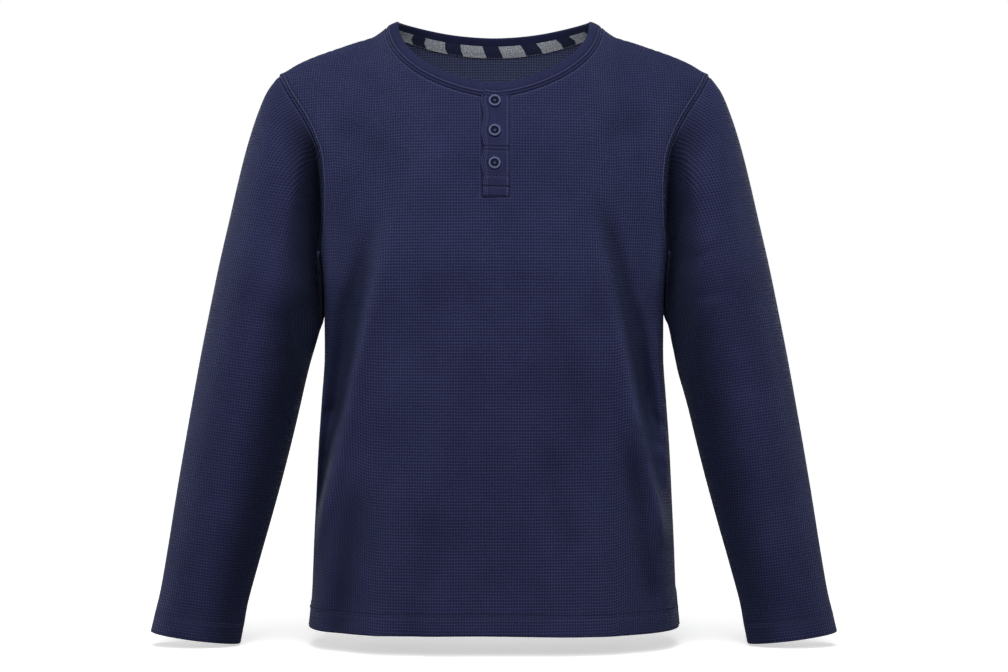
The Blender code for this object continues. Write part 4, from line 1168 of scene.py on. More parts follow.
def edge_wave(z):
    """How far the free edge bulges at the buttons, and draws in between them."""
    spacing = (BUTTON_HEIGHTS[0] - BUTTON_HEIGHTS[2]) / 2
    wave = np.cos(2 * math.pi * (z - BUTTON_HEIGHTS[1]) / spacing)
    return -(EDGE_WAVE * wave + EDGE_SHIFT) * ease((z - BUTTON_HEIGHTS[2] + WAVE_BELOW) / WAVE_FADE)


def strip(profile, level, sunk):
    """Points, normals and chart of a strip that follows the front, from the neck seam down."""
    across, out = (np.array(column) for column in zip(*profile))
    top = neck_z(np.abs(across), "front")
    z = mix(top, PLACKET_END_Z, np.linspace(0, 1, STRIP_ROWS)[:, None])
    x = np.broadcast_to(across, z.shape)
    facing = body_facing(x, z, "front")
    height = out + level(x)
    moved = x
    if sunk:
        moved = x + edge_wave(z) * ease((FREE_SIDE - x) / FREE_REACH)
        for row, depth in CROSS_ROWS.items():
            height = height - depth * np.exp(-(((z - row) / CROSS_REACH) ** 2)) * (out > OUTSIDE)
        for low, high in PILLOWS:
            bulge = np.clip((z - low) * (high - z) * 4 / (high - low) ** 2, 0, 1)
            height = height + PILLOW * bulge * (out > OUTSIDE)
        height = height - END_SINK * ease((PLACKET_END_Z + END_REACH - z) / END_REACH)
    points = body_point(moved, z, "front") + height[..., None] * facing
    chart = np.stack([lengths(points, 1), z], axis=-1)
    rows = np.min([np.abs(z - row) for row in CROSS_ROWS], axis=0)
    plain = np.minimum(rows, np.abs(x - SEWN_EDGE_X) * 1.7 + SEWN_FAINT)
    # Painted shadow rings round the buttons.
    for height_z in BUTTON_HEIGHTS:
        around = np.hypot(x - BUTTON_X, z - height_z) - BUTTON_SHADOW
        plain = np.minimum(plain, np.abs(around))
    # Along the free edge, painted shade at the fold and painted highlights beside the stitches.
    free = np.where(out > OUTSIDE, x - across.min() + 0.0006, FAR)
    return points, facing, chart, np.stack([free, plain, 0 * z + FAR], axis=-1)


over_points, over_normals, over_chart, over_marks = strip(OVER_PROFILE, over_level, True)
under_profile = [StripPlace(x, 0.0) for x in np.linspace(*UNDER_EDGES, 12)]
under_points, under_normals, under_chart, _ = strip(under_profile, under_level, False)
STRIP_WALL = 0.0007
made["placket_over"] = make_sheet("placket_over_jersey", over_points, over_normals, over_chart,
                                  STRIP_WALL, over_marks)
made["placket_under"] = make_sheet("placket_under_jersey", under_points, under_normals,
                                   under_chart, CLOTH_WALL)
areas.update(placket_over=flat_area(over_points), placket_under=flat_area(under_points))
print("strips: %.5f and %.5f square metres" % (areas["placket_over"], areas["placket_under"]))

# %% [markdown]
# ## The neck tape
# A narrow woven tape hides the seam inside the back neck, with its upper half on the neckband and its
# lower half on the back panel. It runs from shoulder to shoulder.

# %% Tape
TAPE_HALF, TAPE_GAP, TAPE_WALL = 0.006, 0.0004, 0.0006
BAND_THICK = 0.0024
TAPE_SHARES, TAPE_PLACES = (1.0, 0.9, 0.6, 0.3), 71


def tape_grid():
    turns = np.linspace(math.pi / 2, 3 * math.pi / 2, TAPE_PLACES)[2:-2]
    seam, rise, facing = neck_seam(turns), band_rise(turns), band_facing(turns)
    narrow = np.sqrt(np.abs(np.cos(turns)))
    depth = BAND_THICK + TAPE_GAP
    upper = [seam + share * TAPE_HALF * rise - depth * facing for share in TAPE_SHARES]
    levels = [seam[:, 2] - share * TAPE_HALF * narrow for share in TAPE_SHARES[::-1]]
    low_facing = [body_facing(seam[:, 0], z, "back") for z in levels]
    lower = [body_point(seam[:, 0], z, "back") - depth * out for z, out in zip(levels, low_facing)]
    mitre = unit(facing + low_facing[0])
    lean = np.sum(mitre * facing, axis=1, keepdims=True)
    points = np.stack(upper + [seam - depth / lean * mitre] + lower)
    normals = np.stack([facing] * len(upper) + [mitre] + low_facing)
    run = lengths(seam, 0)
    height = lengths(points[:, len(turns) // 2], 0)
    return points, normals, strip_chart(run, -height)


tape_points, tape_normals, tape_chart = tape_grid()
made["neck_tape"] = make_sheet("neck_tape_woven", tape_points, -tape_normals, tape_chart, TAPE_WALL)
areas["neck_tape"] = flat_area(tape_points)
print("tape %.0f mm long, %.1f mm wide" % (1000 * np.ptp(tape_chart[..., 0]),
                                           1000 * np.ptp(tape_chart[..., 1])))

# %% [markdown]
# ## Buttons
# A four-hole shirt button is turned on a lathe: a disc with a rounded rim round a shallow dish. It is
# modelled once from a cylinder, by insets and bevels, drilled with four pins, and copied three times.
# Thread crosses the holes in two bars.

# %% Button by hand
BUTTON_RADIUS, BUTTON_THICK = 0.0061, 0.0023
HOLE_RADIUS, HOLE_CIRCLE = 0.0007, 0.0015
BUTTON_CORNERS, HOLE_CORNERS = 48, 16
BEVEL_WIDTH, BEVEL_STEPS, BEVEL_ANGLE = 0.0003, 3, math.radians(25)
SMOOTH_BUTTON = math.radians(40)
RIM_FROM, RIM_FADE = 0.0040, 0.0004
# Insets of the button's face and back: how wide each is, and how far it is lifted.
BUTTON_FACE = ((0.0009, 0.0004), (0.0006, 0), (0.0007, -0.0012), (0.0006, 0))
BUTTON_BACK = ((0.0007, -0.00015),)


def inset(steps):
    """Insets the picked faces and lifts them, step by step."""
    for thickness, lift in steps:
        bpy.ops.mesh.inset(thickness=thickness)
        if lift:
            bpy.ops.transform.translate(value=(0, 0, lift))


def model_button():
    deselect()
    bpy.ops.mesh.primitive_cylinder_add(
        vertices=BUTTON_CORNERS, radius=BUTTON_RADIUS, depth=BUTTON_THICK,
        location=(0, 0, BUTTON_THICK / 2),
    )
    button = bpy.context.object
    bpy.ops.object.transform_apply(location=True)
    edit(button)
    pick_faces(button, lambda centre, normal: normal.z > 0.9)
    inset(BUTTON_FACE)
    bpy.ops.mesh.select_all(action="DESELECT")
    pick_faces(button, lambda centre, normal: normal.z < -0.9)
    inset(BUTTON_BACK)
    bpy.ops.object.mode_set(mode="OBJECT")
    bevel = button.modifiers.new("round", "BEVEL")
    bevel.width, bevel.segments = BEVEL_WIDTH, BEVEL_STEPS
    bevel.limit_method, bevel.angle_limit = "ANGLE", BEVEL_ANGLE
    bpy.ops.object.modifier_apply(modifier=bevel.name)
    return button


def drill(button):
    """Cuts the four thread holes."""
    for corner in range(4):
        angle = math.pi / 4 + corner * math.pi / 2
        deselect()
        bpy.ops.mesh.primitive_cylinder_add(
            vertices=HOLE_CORNERS, radius=HOLE_RADIUS, depth=3 * BUTTON_THICK,
            location=(HOLE_CIRCLE * math.cos(angle), HOLE_CIRCLE * math.sin(angle), 0),
        )
        pin = bpy.context.object
        cut = button.modifiers.new("hole", "BOOLEAN")
        cut.operation, cut.solver, cut.object = "DIFFERENCE", "EXACT", pin
        bpy.context.view_layer.objects.active = button
        bpy.ops.object.modifier_apply(modifier=cut.name)
        bpy.data.objects.remove(pin)


def seat(x, z, lift):
    """Where a flat thing lies on the opening's upper side: across, up, outwards, and the place."""
    x, z = np.array(x), np.array(z)
    facing = body_facing(x, z, "front")
    place = body_point(x, z, "front") + (over_level(x) + lift) * facing
    across = unit(np.cross([0.0, 0.0, 1.0], facing))
    return np.array([across, np.cross(facing, across), facing]), place


def place_copy(model, name, turn, place):
    """A copy with its own mesh, whose points are turned and moved into place."""
    copied = model.data.copy()
    points = np.zeros(len(copied.vertices) * 3, dtype=np.float32)
    copied.vertices.foreach_get("co", points)
    copied.vertices.foreach_set("co", (points.reshape(-1, 3) @ turn + place).astype(np.float32).ravel())
    copied.name = name
    item = bpy.data.objects.new(name, copied)
    bpy.context.scene.collection.objects.link(item)
    copied.update()
    return item


def mark_rim(button):
    """An attribute that is 1 on the rim and 0 in the dish, which carry a painted highlight and painted
    shade.
    """
    rim = button.data.attributes.new("rim", "FLOAT", "POINT")
    for corner, value in zip(button.data.vertices, rim.data):
        radius = math.hypot(corner.co.x, corner.co.y)
        value.value = float(ease((radius - RIM_FROM) / RIM_FADE))


model = model_button()
drill(model)
mark_rim(model)
activate(model)
bpy.ops.object.shade_smooth_by_angle(angle=SMOOTH_BUTTON)
BUTTON_LIFT = 0.0008
BUTTON_TURNS = (8, -14, 21)
buttons = []
for number, (z, degrees) in enumerate(zip(BUTTON_HEIGHTS, BUTTON_TURNS), start=1):
    axes, place = seat(BUTTON_X, z, BUTTON_LIFT)
    c, s = math.cos(math.radians(degrees)), math.sin(math.radians(degrees))
    spin = np.array([[c, s, 0], [-s, c, 0], [0, 0, 1]])
    buttons.append(place_copy(model, "button_%d_turned" % number, spin @ axes, place))
bpy.data.objects.remove(model)
print("button of %d faces, three times" % len(buttons[0].data.polygons))

# %% [markdown]
# ## Sewing thread
# One stitch is a short round bead of thread whose ends dip into the cloth. It is modelled once and laid
# end to end along every row: one on each side of the neck seam, two beside the armholes and above the
# hems, one beside each shoulder seam, one along the tape, and the rows of the opening. Many stitches are
# joined into one mesh for each seam, which is lighter than a thousand objects.

# %% One stitch and a row of them
THREAD_RADIUS = 0.00026
STITCH_LENGTH, STITCH_GAP = 0.0027, 0.0005
THREAD_LIFT = 0.00005
STITCH_STEP = 0.0006
STITCH_CUTS, STITCH_END, STITCH_DIP = (-0.3, 0.0, 0.3), 0.45, 1.1


def model_stitch():
    """A bead of unit length along X, tapered and bent down at its ends."""
    deselect()
    bpy.ops.mesh.primitive_cylinder_add(vertices=6, radius=1, depth=1, end_fill_type="TRIFAN")
    stitch = bpy.context.object
    edit(stitch)
    bpy.ops.mesh.select_all(action="SELECT")
    bpy.ops.transform.rotate(value=math.pi / 2, orient_axis="Y", center_override=(0, 0, 0))
    for share in STITCH_CUTS:
        bpy.ops.mesh.select_all(action="SELECT")
        bpy.ops.mesh.bisect(plane_co=(share, 0, 0), plane_no=(1, 0, 0))
    bpy.ops.object.mode_set(mode="OBJECT")
    for corner in stitch.data.vertices:
        if abs(corner.co.x) > STITCH_END:
            corner.co.y *= STITCH_END
            corner.co.z = corner.co.z * STITCH_END - STITCH_DIP
    return stitch


stitch = model_stitch()
stitch_points = np.array([corner.co for corner in stitch.data.vertices])
stitch_faces = [tuple(face.vertices) for face in stitch.data.polygons]
bpy.data.objects.remove(stitch)


def along_line(line, normals, spacing):
    """Places every so often along a line, with the run and the normal at each."""
    run = lengths(line, 0)
    count = max(int(run[-1] / spacing), 1)
    at = (np.arange(count) + 0.5) * run[-1] / count

    def between(vectors, at):
        return np.stack([np.interp(at, run, vectors[:, axis]) for axis in range(3)], axis=-1)

    direction = unit(between(line, at + STITCH_STEP) - between(line, at - STITCH_STEP))
    return between(line, at), direction, unit(between(normals, at))


def sew(name, rows, length=STITCH_LENGTH, gap=STITCH_GAP, radius=THREAD_RADIUS):
    """Stitches along rows, each a line with its normals, joined in one mesh."""
    corners, faces = [], []
    for line, normals in rows:
        place, run, normal = along_line(line, normals, length + gap)
        across = unit(np.cross(normal, run))
        normal = np.cross(run, across)
        for p, r, a, n in zip(place + normal * THREAD_LIFT, run, across, normal):
            start = len(corners) * len(stitch_points)
            scaled = stitch_points * (length, radius, radius)
            corners.append(p + scaled[:, :1] * r + scaled[:, 1:2] * a + scaled[:, 2:] * n)
            faces.extend(tuple(start + i for i in face) for face in stitch_faces)
    mesh = bpy.data.meshes.new(name)
    mesh.from_pydata(np.concatenate(corners).tolist(), [], faces)
    mesh.shade_smooth()
    item = bpy.data.objects.new(name, mesh)
    bpy.context.scene.collection.objects.link(item)
    print("%s: %d stitches" % (name, len(corners)))
    return item


def level_line(points, normals, distance, row, columns):
    """The line on a grid that lies at one distance from a seam along its first row, with its normals."""
    found, facing = [], []
    for column in columns:
        values = distance[:, column]
        past = np.flatnonzero(values >= row)
        if len(past) == 0 or past[0] == 0:
            continue
        i = past[0]
        share = (row - values[i - 1]) / (values[i] - values[i - 1])
        found.append(mix(points[i - 1, column], points[i, column], share))
        facing.append(mix(normals[i - 1, column], normals[i, column], share))
    return np.array(found), np.array(facing)


# %% Rows of stitches
FREE_ROW_X, SEWN_ROW_X = -0.0080, 0.0136
FLAT_FROM = 7


def seam_rows(kind):
    """The stitch rows of the neck, the armholes or the shoulders on both panels. For an armhole the
    grid is turned, so that its columns start there."""
    rows = []
    for cloth in panels.values():
        for side in ("left", "right"):
            grids = cloth.points, cloth.normals, cloth.distances["%s %s" % (kind, side)]
            if kind == "armhole":
                grids = [grid.swapaxes(0, 1)[:: 1 if side == "right" else -1] for grid in grids]
            for row in STITCH_ROWS[kind]:
                columns = np.flatnonzero(grids[2][0] < row * 1.001)
                if kind == "armhole":
                    columns = range(ARMHOLE_ROWS + 2)
                rows.append(level_line(*grids, row, columns))
    return [row for row in rows if len(row[0]) > 3]


def hem_rows(*cloths):
    """The hem's two rows. The hem is the last row, so the grid is read from its foot."""
    rows = []
    for cloth in cloths:
        grids = cloth.points[::-1], cloth.normals[::-1], cloth.distances["hem"][::-1]
        rows += [level_line(*grids, row, range(grids[0].shape[1])) for row in STITCH_ROWS["hem"]]
    return rows


def opening_rows():
    """Beside the free edge, beside the sewn edge, and across the lower end of the opening."""
    rows = []
    strip_x = np.array([place.x for place in OVER_PROFILE])
    for x in FREE_ROW_X, SEWN_ROW_X:
        column = int(np.argmin(np.abs(strip_x - x) + (np.array(OVER_PROFILE)[:, 1] < OUTSIDE)))
        rows.append((over_points[2:-2, column], over_normals[2:-2, column]))
    for z in CROSS_ROWS:
        if z < BUTTON_HEIGHTS[2]:
            row = int(np.argmin(np.abs(over_points[:, 12, 2] - z)))
            rows.append((over_points[row, FLAT_FROM:-2], over_normals[row, FLAT_FROM:-2]))
    return rows


band_row = [(mix(neckband.points[3], neckband.points[4], 0.4), neckband.normals[3])]
tape_row = [(tape_points[-2] * 0.25 + tape_points[-1] * 0.75, -tape_normals[-1])]


# %% Thread on the buttons
BAR_ANGLES, BAR_HALF, BAR_BESIDE, BAR_SUNK = (45, 135), 0.0016, 0.00017, 0.0006


def button_thread():
    """Two crossing bars through the holes of each button, as long stitches."""
    rows = []
    for z, degrees in zip(BUTTON_HEIGHTS, BUTTON_TURNS):
        axes, place = seat(BUTTON_X, z, BUTTON_LIFT)
        for angle in BAR_ANGLES:
            turn = math.radians(angle + degrees)
            run = axes[0] * math.cos(turn) + axes[1] * math.sin(turn)
            for shift in (-BAR_BESIDE, BAR_BESIDE):
                beside = np.cross(axes[2], run) * shift
                top = place + axes[2] * (BUTTON_THICK - BAR_SUNK) + beside
                rows.append((np.stack([top - run * BAR_HALF, top + run * BAR_HALF]),
                             np.stack([axes[2], axes[2]])))
    return rows


FINE_THREAD = 0.00022
# Each row of the table is a name, the piece that it is sewn on, its lines, and sizes that aren't usual.
SEWN = (
    ("neck_stitches", "front_panel", seam_rows("neck")),
    ("band_stitches", "neckband", band_row),
    ("shoulder_stitches", "front_panel", seam_rows("shoulder")),
    ("armhole_stitches", "front_panel", seam_rows("armhole")),
    ("hem_stitches", "front_panel", hem_rows(*panels.values())),
    ("cuff_stitches", "sleeve_left", hem_rows(*sleeves.values())),
    ("opening_stitches", "placket_over", opening_rows(), 0.0022, 0.0006),
    ("tape_stitches", "neck_tape", tape_row, 0.0016, 0.0014, FINE_THREAD),
    ("button_threads", "placket_over", button_thread(), 0.0034, 0.0, FINE_THREAD),
)
threads = {name: (sew(name, rows, *sizes), on) for name, on, rows, *sizes in SEWN}

# %% [markdown]
# ## Finishes
# Waffle knit is a grid of raised yarns round small square hollows. The hollows get painted shade,
# because light is lost in them, so one pattern drives both the colour and the bump. It runs in the flat
# chart's metres. Both knits share groups for loose fibres and for the uneven shade of washed cotton.
# Their yarns' colours are mixed from a dark and a light one, and the sheen is that of brushed cotton.
# Crisp folds get painted light, and troughs, the sleeves' inner sides and under the arms get painted
# shade. The waffle's inner face gets a paler colour, painted light for the brightly lit inside of the neck.

# %% Shared patterns
# Painted shade and painted highlights along the seams. Each line has the mark that it follows (X
# armhole or a band's edge, Y other seams and the painted shadows beside the opening and round the
# buttons, Z hem), and its distance, reach and strength. The dark lines are painted shade in the grooves
# where cloth is drawn in, and the light lines are painted highlights on the stitched ridges.
SEAM_SHADE_LINES = (
    ("X", 0.0, 0.0014, 1.0), ("X", 0.0034, 0.0013, 0.8), ("X", 0.0069, 0.0012, 0.45),
    ("Y", 0.0, 0.0013, 0.80),
    ("Z", 0.0186, 0.0009, 0.3), ("Z", 0.0214, 0.0011, 0.4), ("Z", 0.0, 0.0008, 0.4),
)
SEAM_HIGHLIGHT_LINES = (
    ("X", 0.0017, 0.0009, 1.0), ("X", 0.0052, 0.0011, 0.9),
    ("Y", 0.0018, 0.0008, 0.7),
    ("Z", 0.0173, 0.0008, 0.45), ("Z", 0.0199, 0.0008, 0.45),
)


def new_group(name, inputs, outputs):
    """An empty node group with named sockets, and its input and output nodes."""
    group = bpy.data.node_groups.new(name, "ShaderNodeTree")
    for socket, kind in inputs.items():
        group.interface.new_socket(name=socket, in_out="INPUT", socket_type="NodeSocket" + kind)
    for socket, kind in outputs.items():
        group.interface.new_socket(name=socket, in_out="OUTPUT", socket_type="NodeSocket" + kind)
    return group, group.nodes.new("NodeGroupInput"), group.nodes.new("NodeGroupOutput")


RIB_STRENGTH, RIB_HEIGHT = 0.22, 0.30
WANDER_SCALE, FUZZ_SCALE, SHADE_SCALE, GRAIN_SCALE = 90.0, 2600.0, 14.0, 420.0
JERSEY_LEAN, JERSEY_LOOPS = 1.4, 0.35


def waffle_group():
    """Raised yarns round hollows, with the upright ribs a little stronger than the cross rows.
    Height is 1 on a crossing, and Hollow is 1 in a hollow's middle."""
    group, given, result = new_group(
        "waffle_relief",
        {"Vector": "Vector", "Cell Width": "Float", "Cell Height": "Float", "Wander": "Float"},
        {"Height": "Float", "Hollow": "Float"},
    )
    wander = add_node(group, "TexNoise", Scale=WANDER_SCALE, Detail=1.0, Vector=given.outputs["Vector"])
    off = calculate(group, "SUBTRACT", wander.outputs["Color"], (0.5, 0.5, 0.5), kind="VectorMath")
    shift = add_node(group, "VectorMath", set_operation="SCALE", Vector=off, Scale=given.outputs["Wander"])
    placed = calculate(group, "ADD", given.outputs["Vector"], shift.outputs[0], kind="VectorMath")
    split = add_node(group, "SeparateXYZ", Vector=placed)
    waves = []
    for axis, size in (("X", "Cell Width"), ("Y", "Cell Height")):
        turns = calculate(group, "DIVIDE", split.outputs[axis], given.outputs[size])
        waves.append(half_wave(group, times(group, turns, math.pi)))
    crossing = calculate(group, "MULTIPLY_ADD", waves[1], 1 - RIB_STRENGTH, RIB_STRENGTH)
    hollow = times(group, waves[0], crossing)
    rib = times(group, calculate(group, "SUBTRACT", 1.0, waves[0]), RIB_HEIGHT)
    height = plus(group, calculate(group, "SUBTRACT", 1.0, hollow), rib)
    fill(group, result, Height=height, Hollow=hollow)
    return group


def jersey_group():
    """Fine columns of knit stitches that lean to and fro."""
    group, given, result = new_group("jersey_relief", {"Vector": "Vector", "Size": "Float"},
                                     {"Height": "Float"})
    split = add_node(group, "SeparateXYZ", Vector=given.outputs["Vector"])
    turns = calculate(group, "DIVIDE", split.outputs["X"], given.outputs["Size"])
    lean = calculate(group, "PINGPONG", turns, 0.5)
    climb = calculate(group, "DIVIDE", split.outputs["Y"], given.outputs["Size"])
    climb = plus(group, climb, times(group, lean, JERSEY_LEAN))
    loops = calculate(group, "SINE", times(group, climb, 2 * math.pi))
    columns = half_wave(group, times(group, turns, math.pi))
    height = plus(group, columns, times(group, loops, JERSEY_LOOPS))
    fill(group, result, Height=height)
    return group


def line_mask(tree, distance, at, reach, strength):
    """A soft line at one distance from a seam."""
    off = calculate(tree, "ABSOLUTE", calculate(tree, "SUBTRACT", distance, at))
    return ramp(tree, off, set_interpolation_type="SMOOTHSTEP", From_Min=0.0, From_Max=reach,
                To_Min=strength, To_Max=0.0)


def seam_group():
    """Painted shade in lines where cloth is drawn in beside the stitches, and painted highlights on the
    stitched ridges.
    """
    group, given, result = new_group("seam_lines", {"Vector": "Vector"},
                                     {"Dark": "Float", "Light": "Float"})
    split = add_node(group, "SeparateXYZ", Vector=given.outputs["Vector"])
    for output, lines in (("Dark", SEAM_SHADE_LINES), ("Light", SEAM_HIGHLIGHT_LINES)):
        total = 0.0
        for axis, at, reach, strength in lines:
            line = line_mask(group, split.outputs[axis], at, reach, strength)
            total = calculate(group, "MAXIMUM", total, line)
        join(group, total, result.inputs[output])
    return group


def fibre_group():
    """Loose fibres as a fine noise, and the uneven shade of washed cloth as a broad one."""
    group, given, result = new_group("cotton_fibres", {"Vector": "Vector", "Place": "Vector"},
                                     {"Fuzz": "Float", "Shade": "Float"})
    fine = add_node(group, "TexNoise", Scale=FUZZ_SCALE, Detail=2.0, Roughness=0.6,
                    Vector=given.outputs["Vector"])
    broad = add_node(group, "TexNoise", Scale=SHADE_SCALE, Detail=4.0, Roughness=0.62,
                     Vector=given.outputs["Place"])
    grain = add_node(group, "TexNoise", Scale=GRAIN_SCALE, Detail=2.0, Vector=given.outputs["Vector"])
    both = plus(group, times(group, broad.outputs["Fac"], 0.7),
                     times(group, grain.outputs["Fac"], 0.3))
    fill(group, result, Fuzz=fine.outputs["Fac"], Shade=both)
    return group


waffle_relief, jersey_relief, cotton_fibres = waffle_group(), jersey_group(), fibre_group()
seam_lines = seam_group()
print("pattern groups:", waffle_relief.name, jersey_relief.name, cotton_fibres.name, seam_lines.name)


# %% Cloth materials
WAFFLE_CELL = (0.00279, 0.00310)
JERSEY_SIZE = 0.0016
SEAM_SHADE_STRENGTH, SEAM_HIGHLIGHT_STRENGTH = 0.85, 0.55
# Strengths of the painted light on crests and of the painted shade in troughs and under the arms, of the
# painted shade in the knit's hollows, and the near-black colour of the painted shade.
CREST_LIGHT_STRENGTH, TROUGH_SHADE_STRENGTH = 0.75, 1.0
HOLLOW_DARKNESS, FUZZ_HEIGHT, KNIT_BUMP, WANDER = 0.80, 0.35, 0.8, 0.0011
PAINTED_SHADE_NAVY = (0.0004, 0.0005, 0.0018)
# Yarn colours dark and light, and painted ones: the hollow colour is painted shade in hollows and seam
# grooves, the raised colour painted highlights on crests and stitched ridges, the reverse colour painted
# light on the inner face.
Dye = namedtuple("Dye", "dark light hollow raised reverse")
NAVY_WAFFLE = Dye((0.0350, 0.0385, 0.1110), (0.0500, 0.0550, 0.1520), (0.0012, 0.0016, 0.0068),
                  (0.0660, 0.0720, 0.1800), (0.1250, 0.1450, 0.2900))
NAVY_JERSEY = Dye((0.0195, 0.0215, 0.0660), (0.0320, 0.0350, 0.1010), (0.0030, 0.0038, 0.0150),
                  (0.0450, 0.0500, 0.1250), (0.0260, 0.0300, 0.0850))


def use_group(tree, group, **inputs):
    return add_node(tree, "Group", set_node_tree=group, **inputs)


def mix_colour(tree, factor, first, second):
    node = add_node(tree, "Mix", set_data_type="RGBA")
    join(tree, factor, node.inputs[0])
    for socket, colour in ((node.inputs[6], first), (node.inputs[7], second)):
        join(tree, (*colour, 1.0) if isinstance(colour, tuple) else colour, socket)
    return node.outputs[2]


def attribute(tree, name, output="Fac"):
    return add_node(tree, "Attribute", set_attribute_name=name).outputs[output]


def noise_on(tree, place, **inputs):
    return add_node(tree, "TexNoise", Vector=place, **inputs).outputs["Fac"]


def finish_shader(tree, shader, colour, height, strength, depth, **inputs):
    """Joins a colour, and a height as a bump, to the shader, with its other inputs."""
    bump = add_node(tree, "Bump", Strength=strength, Distance=depth, Height=height)
    fill(tree, shader, Base_Color=colour, Normal=bump.outputs[0], **inputs)


# Matt cotton. Light that glances off dyed fibres takes their colour.
COTTON = {"Roughness": 0.66, "Specular_IOR_Level": 0.18, "Specular_Tint": (0.50, 0.53, 1.0, 1.0),
          "Sheen_Roughness": 0.5, "Sheen_Tint": (0.38, 0.53, 0.95, 1.0)}


def knit_material(name, dye, relief, depth, sheen):
    """A cotton knit: relief gives a height, and a mask of the hollows where shade is painted, from the UV
    map's vector.
    """
    made, tree, shader = new_material(name)
    flat = add_node(tree, "UVMap", set_uv_map="UVMap").outputs["UV"]
    place = add_node(tree, "TexCoord").outputs["Object"]
    fibres = use_group(tree, cotton_fibres, Vector=flat, Place=place)
    height, hollow = relief(tree, flat)
    shade = ramp(tree, fibres.outputs["Shade"], From_Min=0.36, From_Max=0.64)
    yarn = mix_colour(tree, shade, dye.dark, dye.light)
    # Painted light on crests, towards the raised colour, and painted shade in troughs and under the arms,
    # near black.
    wear = attribute(tree, "wear")
    painted_light = times(tree, calculate(tree, "MAXIMUM", wear, 0.0), CREST_LIGHT_STRENGTH)
    painted_shade = times(tree, calculate(tree, "MINIMUM", wear, 0.0), -TROUGH_SHADE_STRENGTH)
    yarn = mix_colour(tree, painted_light, yarn, dye.raised)
    yarn = mix_colour(tree, painted_shade, yarn, PAINTED_SHADE_NAVY)
    # The inner face gets the reverse colour, paler for the waffle: painted light for the brightly lit inside
    # of the neck.
    yarn = mix_colour(tree, attribute(tree, "reverse"), yarn, dye.reverse)
    # Painted shade in the knit's hollows.
    colour = mix_colour(tree, times(tree, hollow, HOLLOW_DARKNESS), yarn, dye.hollow)
    # Painted shade lines in the seams' grooves and painted highlights on their ridges.
    lines = use_group(tree, seam_lines, Vector=attribute(tree, "seams", "Vector"))
    light = times(tree, lines.outputs["Light"], SEAM_HIGHLIGHT_STRENGTH)
    dark = times(tree, lines.outputs["Dark"], SEAM_SHADE_STRENGTH)
    colour = mix_colour(tree, light, colour, dye.raised)
    colour = mix_colour(tree, dark, colour, dye.hollow)
    fuzz = times(tree, fibres.outputs["Fuzz"], FUZZ_HEIGHT)
    total = plus(tree, height, fuzz)
    finish_shader(tree, shader, colour, total, KNIT_BUMP, depth, Sheen_Weight=sheen, **COTTON)
    return made


def waffle_relief_of(tree, flat):
    node = use_group(tree, waffle_relief, Vector=flat, Cell_Width=WAFFLE_CELL[0],
                     Cell_Height=WAFFLE_CELL[1], Wander=WANDER)
    return node.outputs["Height"], node.outputs["Hollow"]


def jersey_relief_of(tree, flat):
    node = use_group(tree, jersey_relief, Vector=flat, Size=JERSEY_SIZE)
    # Painted shade between the stitch columns.
    between = calculate(tree, "SUBTRACT", 1.0, calculate(tree, "MINIMUM", node.outputs["Height"], 1.0))
    return node.outputs["Height"], times(tree, between, 0.9)


waffle_knit = knit_material("waffle_knit_navy", NAVY_WAFFLE, waffle_relief_of, 0.0010, 0.095)
band_jersey = knit_material("band_jersey_navy", NAVY_JERSEY, jersey_relief_of, 0.00015, 0.09)
print("cloth materials:", waffle_knit.name, band_jersey.name)

# %% Tape material
BLOCK_PERIOD, BLOCK_LENGTH, BLOCK_SLANT = 0.0438, 0.0255, -0.40
BLOCK_SHIFT, TAPE_RIB = 0.0302, 0.0011
GREY_MELANGE = (0.12, 0.135, 0.17), (0.75, 0.78, 0.84)
NAVY_TAPE = (0.013, 0.016, 0.040), (0.032, 0.038, 0.080)


def tape_material():
    """Navy tape with slanted blocks of grey melange. The blocks have no lettering."""
    made, tree, shader = new_material("neck_tape_blocks")
    flat = add_node(tree, "UVMap", set_uv_map="UVMap").outputs["UV"]
    split = add_node(tree, "SeparateXYZ", Vector=flat)
    leaning = plus(tree, split.outputs["X"],
                        times(tree, split.outputs["Y"], BLOCK_SLANT))
    shifted = plus(tree, leaning, 10 * BLOCK_PERIOD + BLOCK_SHIFT)
    within = calculate(tree, "MODULO", shifted, BLOCK_PERIOD)
    block = calculate(tree, "LESS_THAN", within, BLOCK_LENGTH)
    speckle = noise_on(tree, flat, Scale=700.0, Detail=3.0, Roughness=0.7)
    rows = half_wave(tree, times(tree, split.outputs["Y"], math.pi / TAPE_RIB))
    spread = ramp(tree, speckle, From_Min=0.35, From_Max=0.65)
    grey = mix_colour(tree, spread, *GREY_MELANGE)
    navy = mix_colour(tree, spread, *NAVY_TAPE)
    colour = mix_colour(tree, block, navy, grey)
    height = plus(tree, rows, speckle)
    finish_shader(tree, shader, colour, height, 0.6, 0.0003, Sheen_Weight=0.05, **COTTON)
    return made


neck_tape = tape_material()


# %% Thread and button materials
# The rim's colour carries a painted highlight, and the dish's colour a painted shade.
BUTTON_RIM_HIGHLIT = (0.092, 0.105, 0.200), (0.138, 0.154, 0.275)
BUTTON_DISH_SHADED, DISH_DULLNESS = (0.006, 0.007, 0.020), 0.42


def thread_material(name, dark, light):
    """Twisted thread: a fine noise in its colour and bump, and a slight gloss."""
    made, tree, shader = new_material(name)
    place = add_node(tree, "TexCoord").outputs["Object"]
    twist = noise_on(tree, place, Scale=900.0, Detail=2.0)
    colour = mix_colour(tree, twist, dark, light)
    finish_shader(tree, shader, colour, twist, 0.5, 0.0001, Roughness=0.7, Specular_IOR_Level=0.3)
    return made


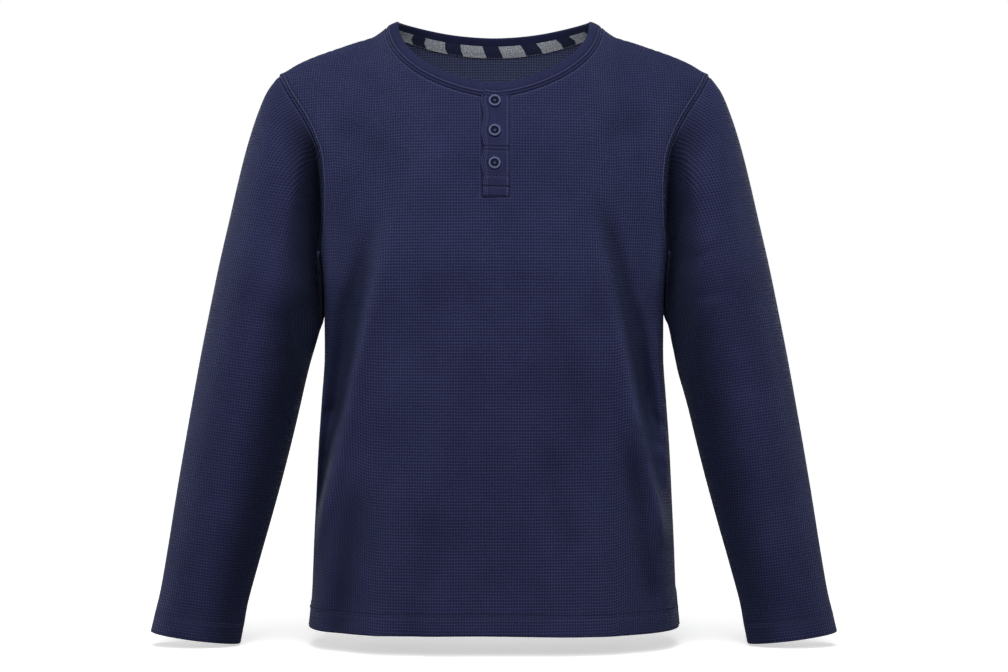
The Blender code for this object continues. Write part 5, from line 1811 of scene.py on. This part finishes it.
def button_material():
    """Navy polyester with faint clouds in it, satin, with a painted highlight on its rim and painted shade
    in its duller dish.
    """
    made, tree, shader = new_material("button_plastic_navy")
    place = add_node(tree, "TexCoord").outputs["Object"]
    clouds = noise_on(tree, place, Scale=420.0, Detail=3.0)
    rub = noise_on(tree, place, Scale=2200.0, Detail=3.0)
    rim = attribute(tree, "rim")
    colour = mix_colour(tree, rim, BUTTON_DISH_SHADED, mix_colour(tree, clouds, *BUTTON_RIM_HIGHLIT))
    rough = ramp(tree, rub, To_Min=0.28, To_Max=0.45)
    rough = plus(tree, rough, ramp(tree, rim, To_Min=DISH_DULLNESS, To_Max=0.0))
    finish_shader(tree, shader, colour, rub, 0.15, 0.0001, Roughness=rough,
                  Specular_IOR_Level=0.18, Specular_Tint=(0.60, 0.66, 1.0, 1.0))
    return made


navy_thread = thread_material("sewing_thread_navy", (0.060, 0.068, 0.160), (0.120, 0.132, 0.260))
deep_thread = thread_material("sewing_thread_deep", (0.026, 0.030, 0.080), (0.048, 0.054, 0.125))
pale_thread = thread_material("sewing_thread_pale", (0.30, 0.31, 0.34), (0.55, 0.56, 0.60))
button_plastic = button_material()
print("trim materials:", neck_tape.name, navy_thread.name, pale_thread.name, button_plastic.name)

# %% [markdown]
# ## Dress the solids
# Every piece gets its finish, stands for its solid and moves with it. A cloth piece also states the size
# that it was cut to, as a maker's pattern would.

# %% Finishes and places
finishes = {
    "waffle_knit": (waffle_knit, ("front_panel", "back_panel", "sleeve_left", "sleeve_right")),
    "band_jersey": (band_jersey, ("neckband", "placket_over", "placket_under")),
    "neck_tape": (neck_tape, ("neck_tape",)),
}


def dress(piece, material):
    piece.data.materials.clear()
    piece.data.materials.append(material)
    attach(piece, "root")


for slot, (material, nodes) in finishes.items():
    for node in nodes:
        dress(made[node], material)
        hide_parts(node)
for number, button in enumerate(buttons, start=1):
    dress(button, button_plastic)
    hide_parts("button_%d" % number)
for name, (thread, on) in threads.items():
    hidden = deep_thread if name in ("hem_stitches", "cuff_stitches") else navy_thread
    dress(thread, pale_thread if on == "neck_tape" else hidden)

# %% Sizes of the cut pieces
Cut = namedtuple("Cut", "node width length rests_on")
CUTS = (
    Cut("front_panel", 0.532, 0.708, "back_panel_knit"),
    Cut("back_panel", 0.510, 0.708, "front_panel_knit"),
    Cut("sleeve_left", 0.480, 0.625, "front_panel_knit"),
    Cut("sleeve_right", 0.480, 0.625, "front_panel_knit"),
    Cut("neckband", 0.032, 0.698, "front_panel_knit"),
    Cut("placket_over", 0.043, 0.106, "front_panel_knit"),
    Cut("placket_under", 0.027, 0.106, "front_panel_knit"),
    Cut("neck_tape", 0.0136, 0.297, "neckband_jersey"),
)
for cut in CUTS:
    print("%s: %.5f square metres of %.5f" % (cut.node, areas[cut.node], cut.width * cut.length))
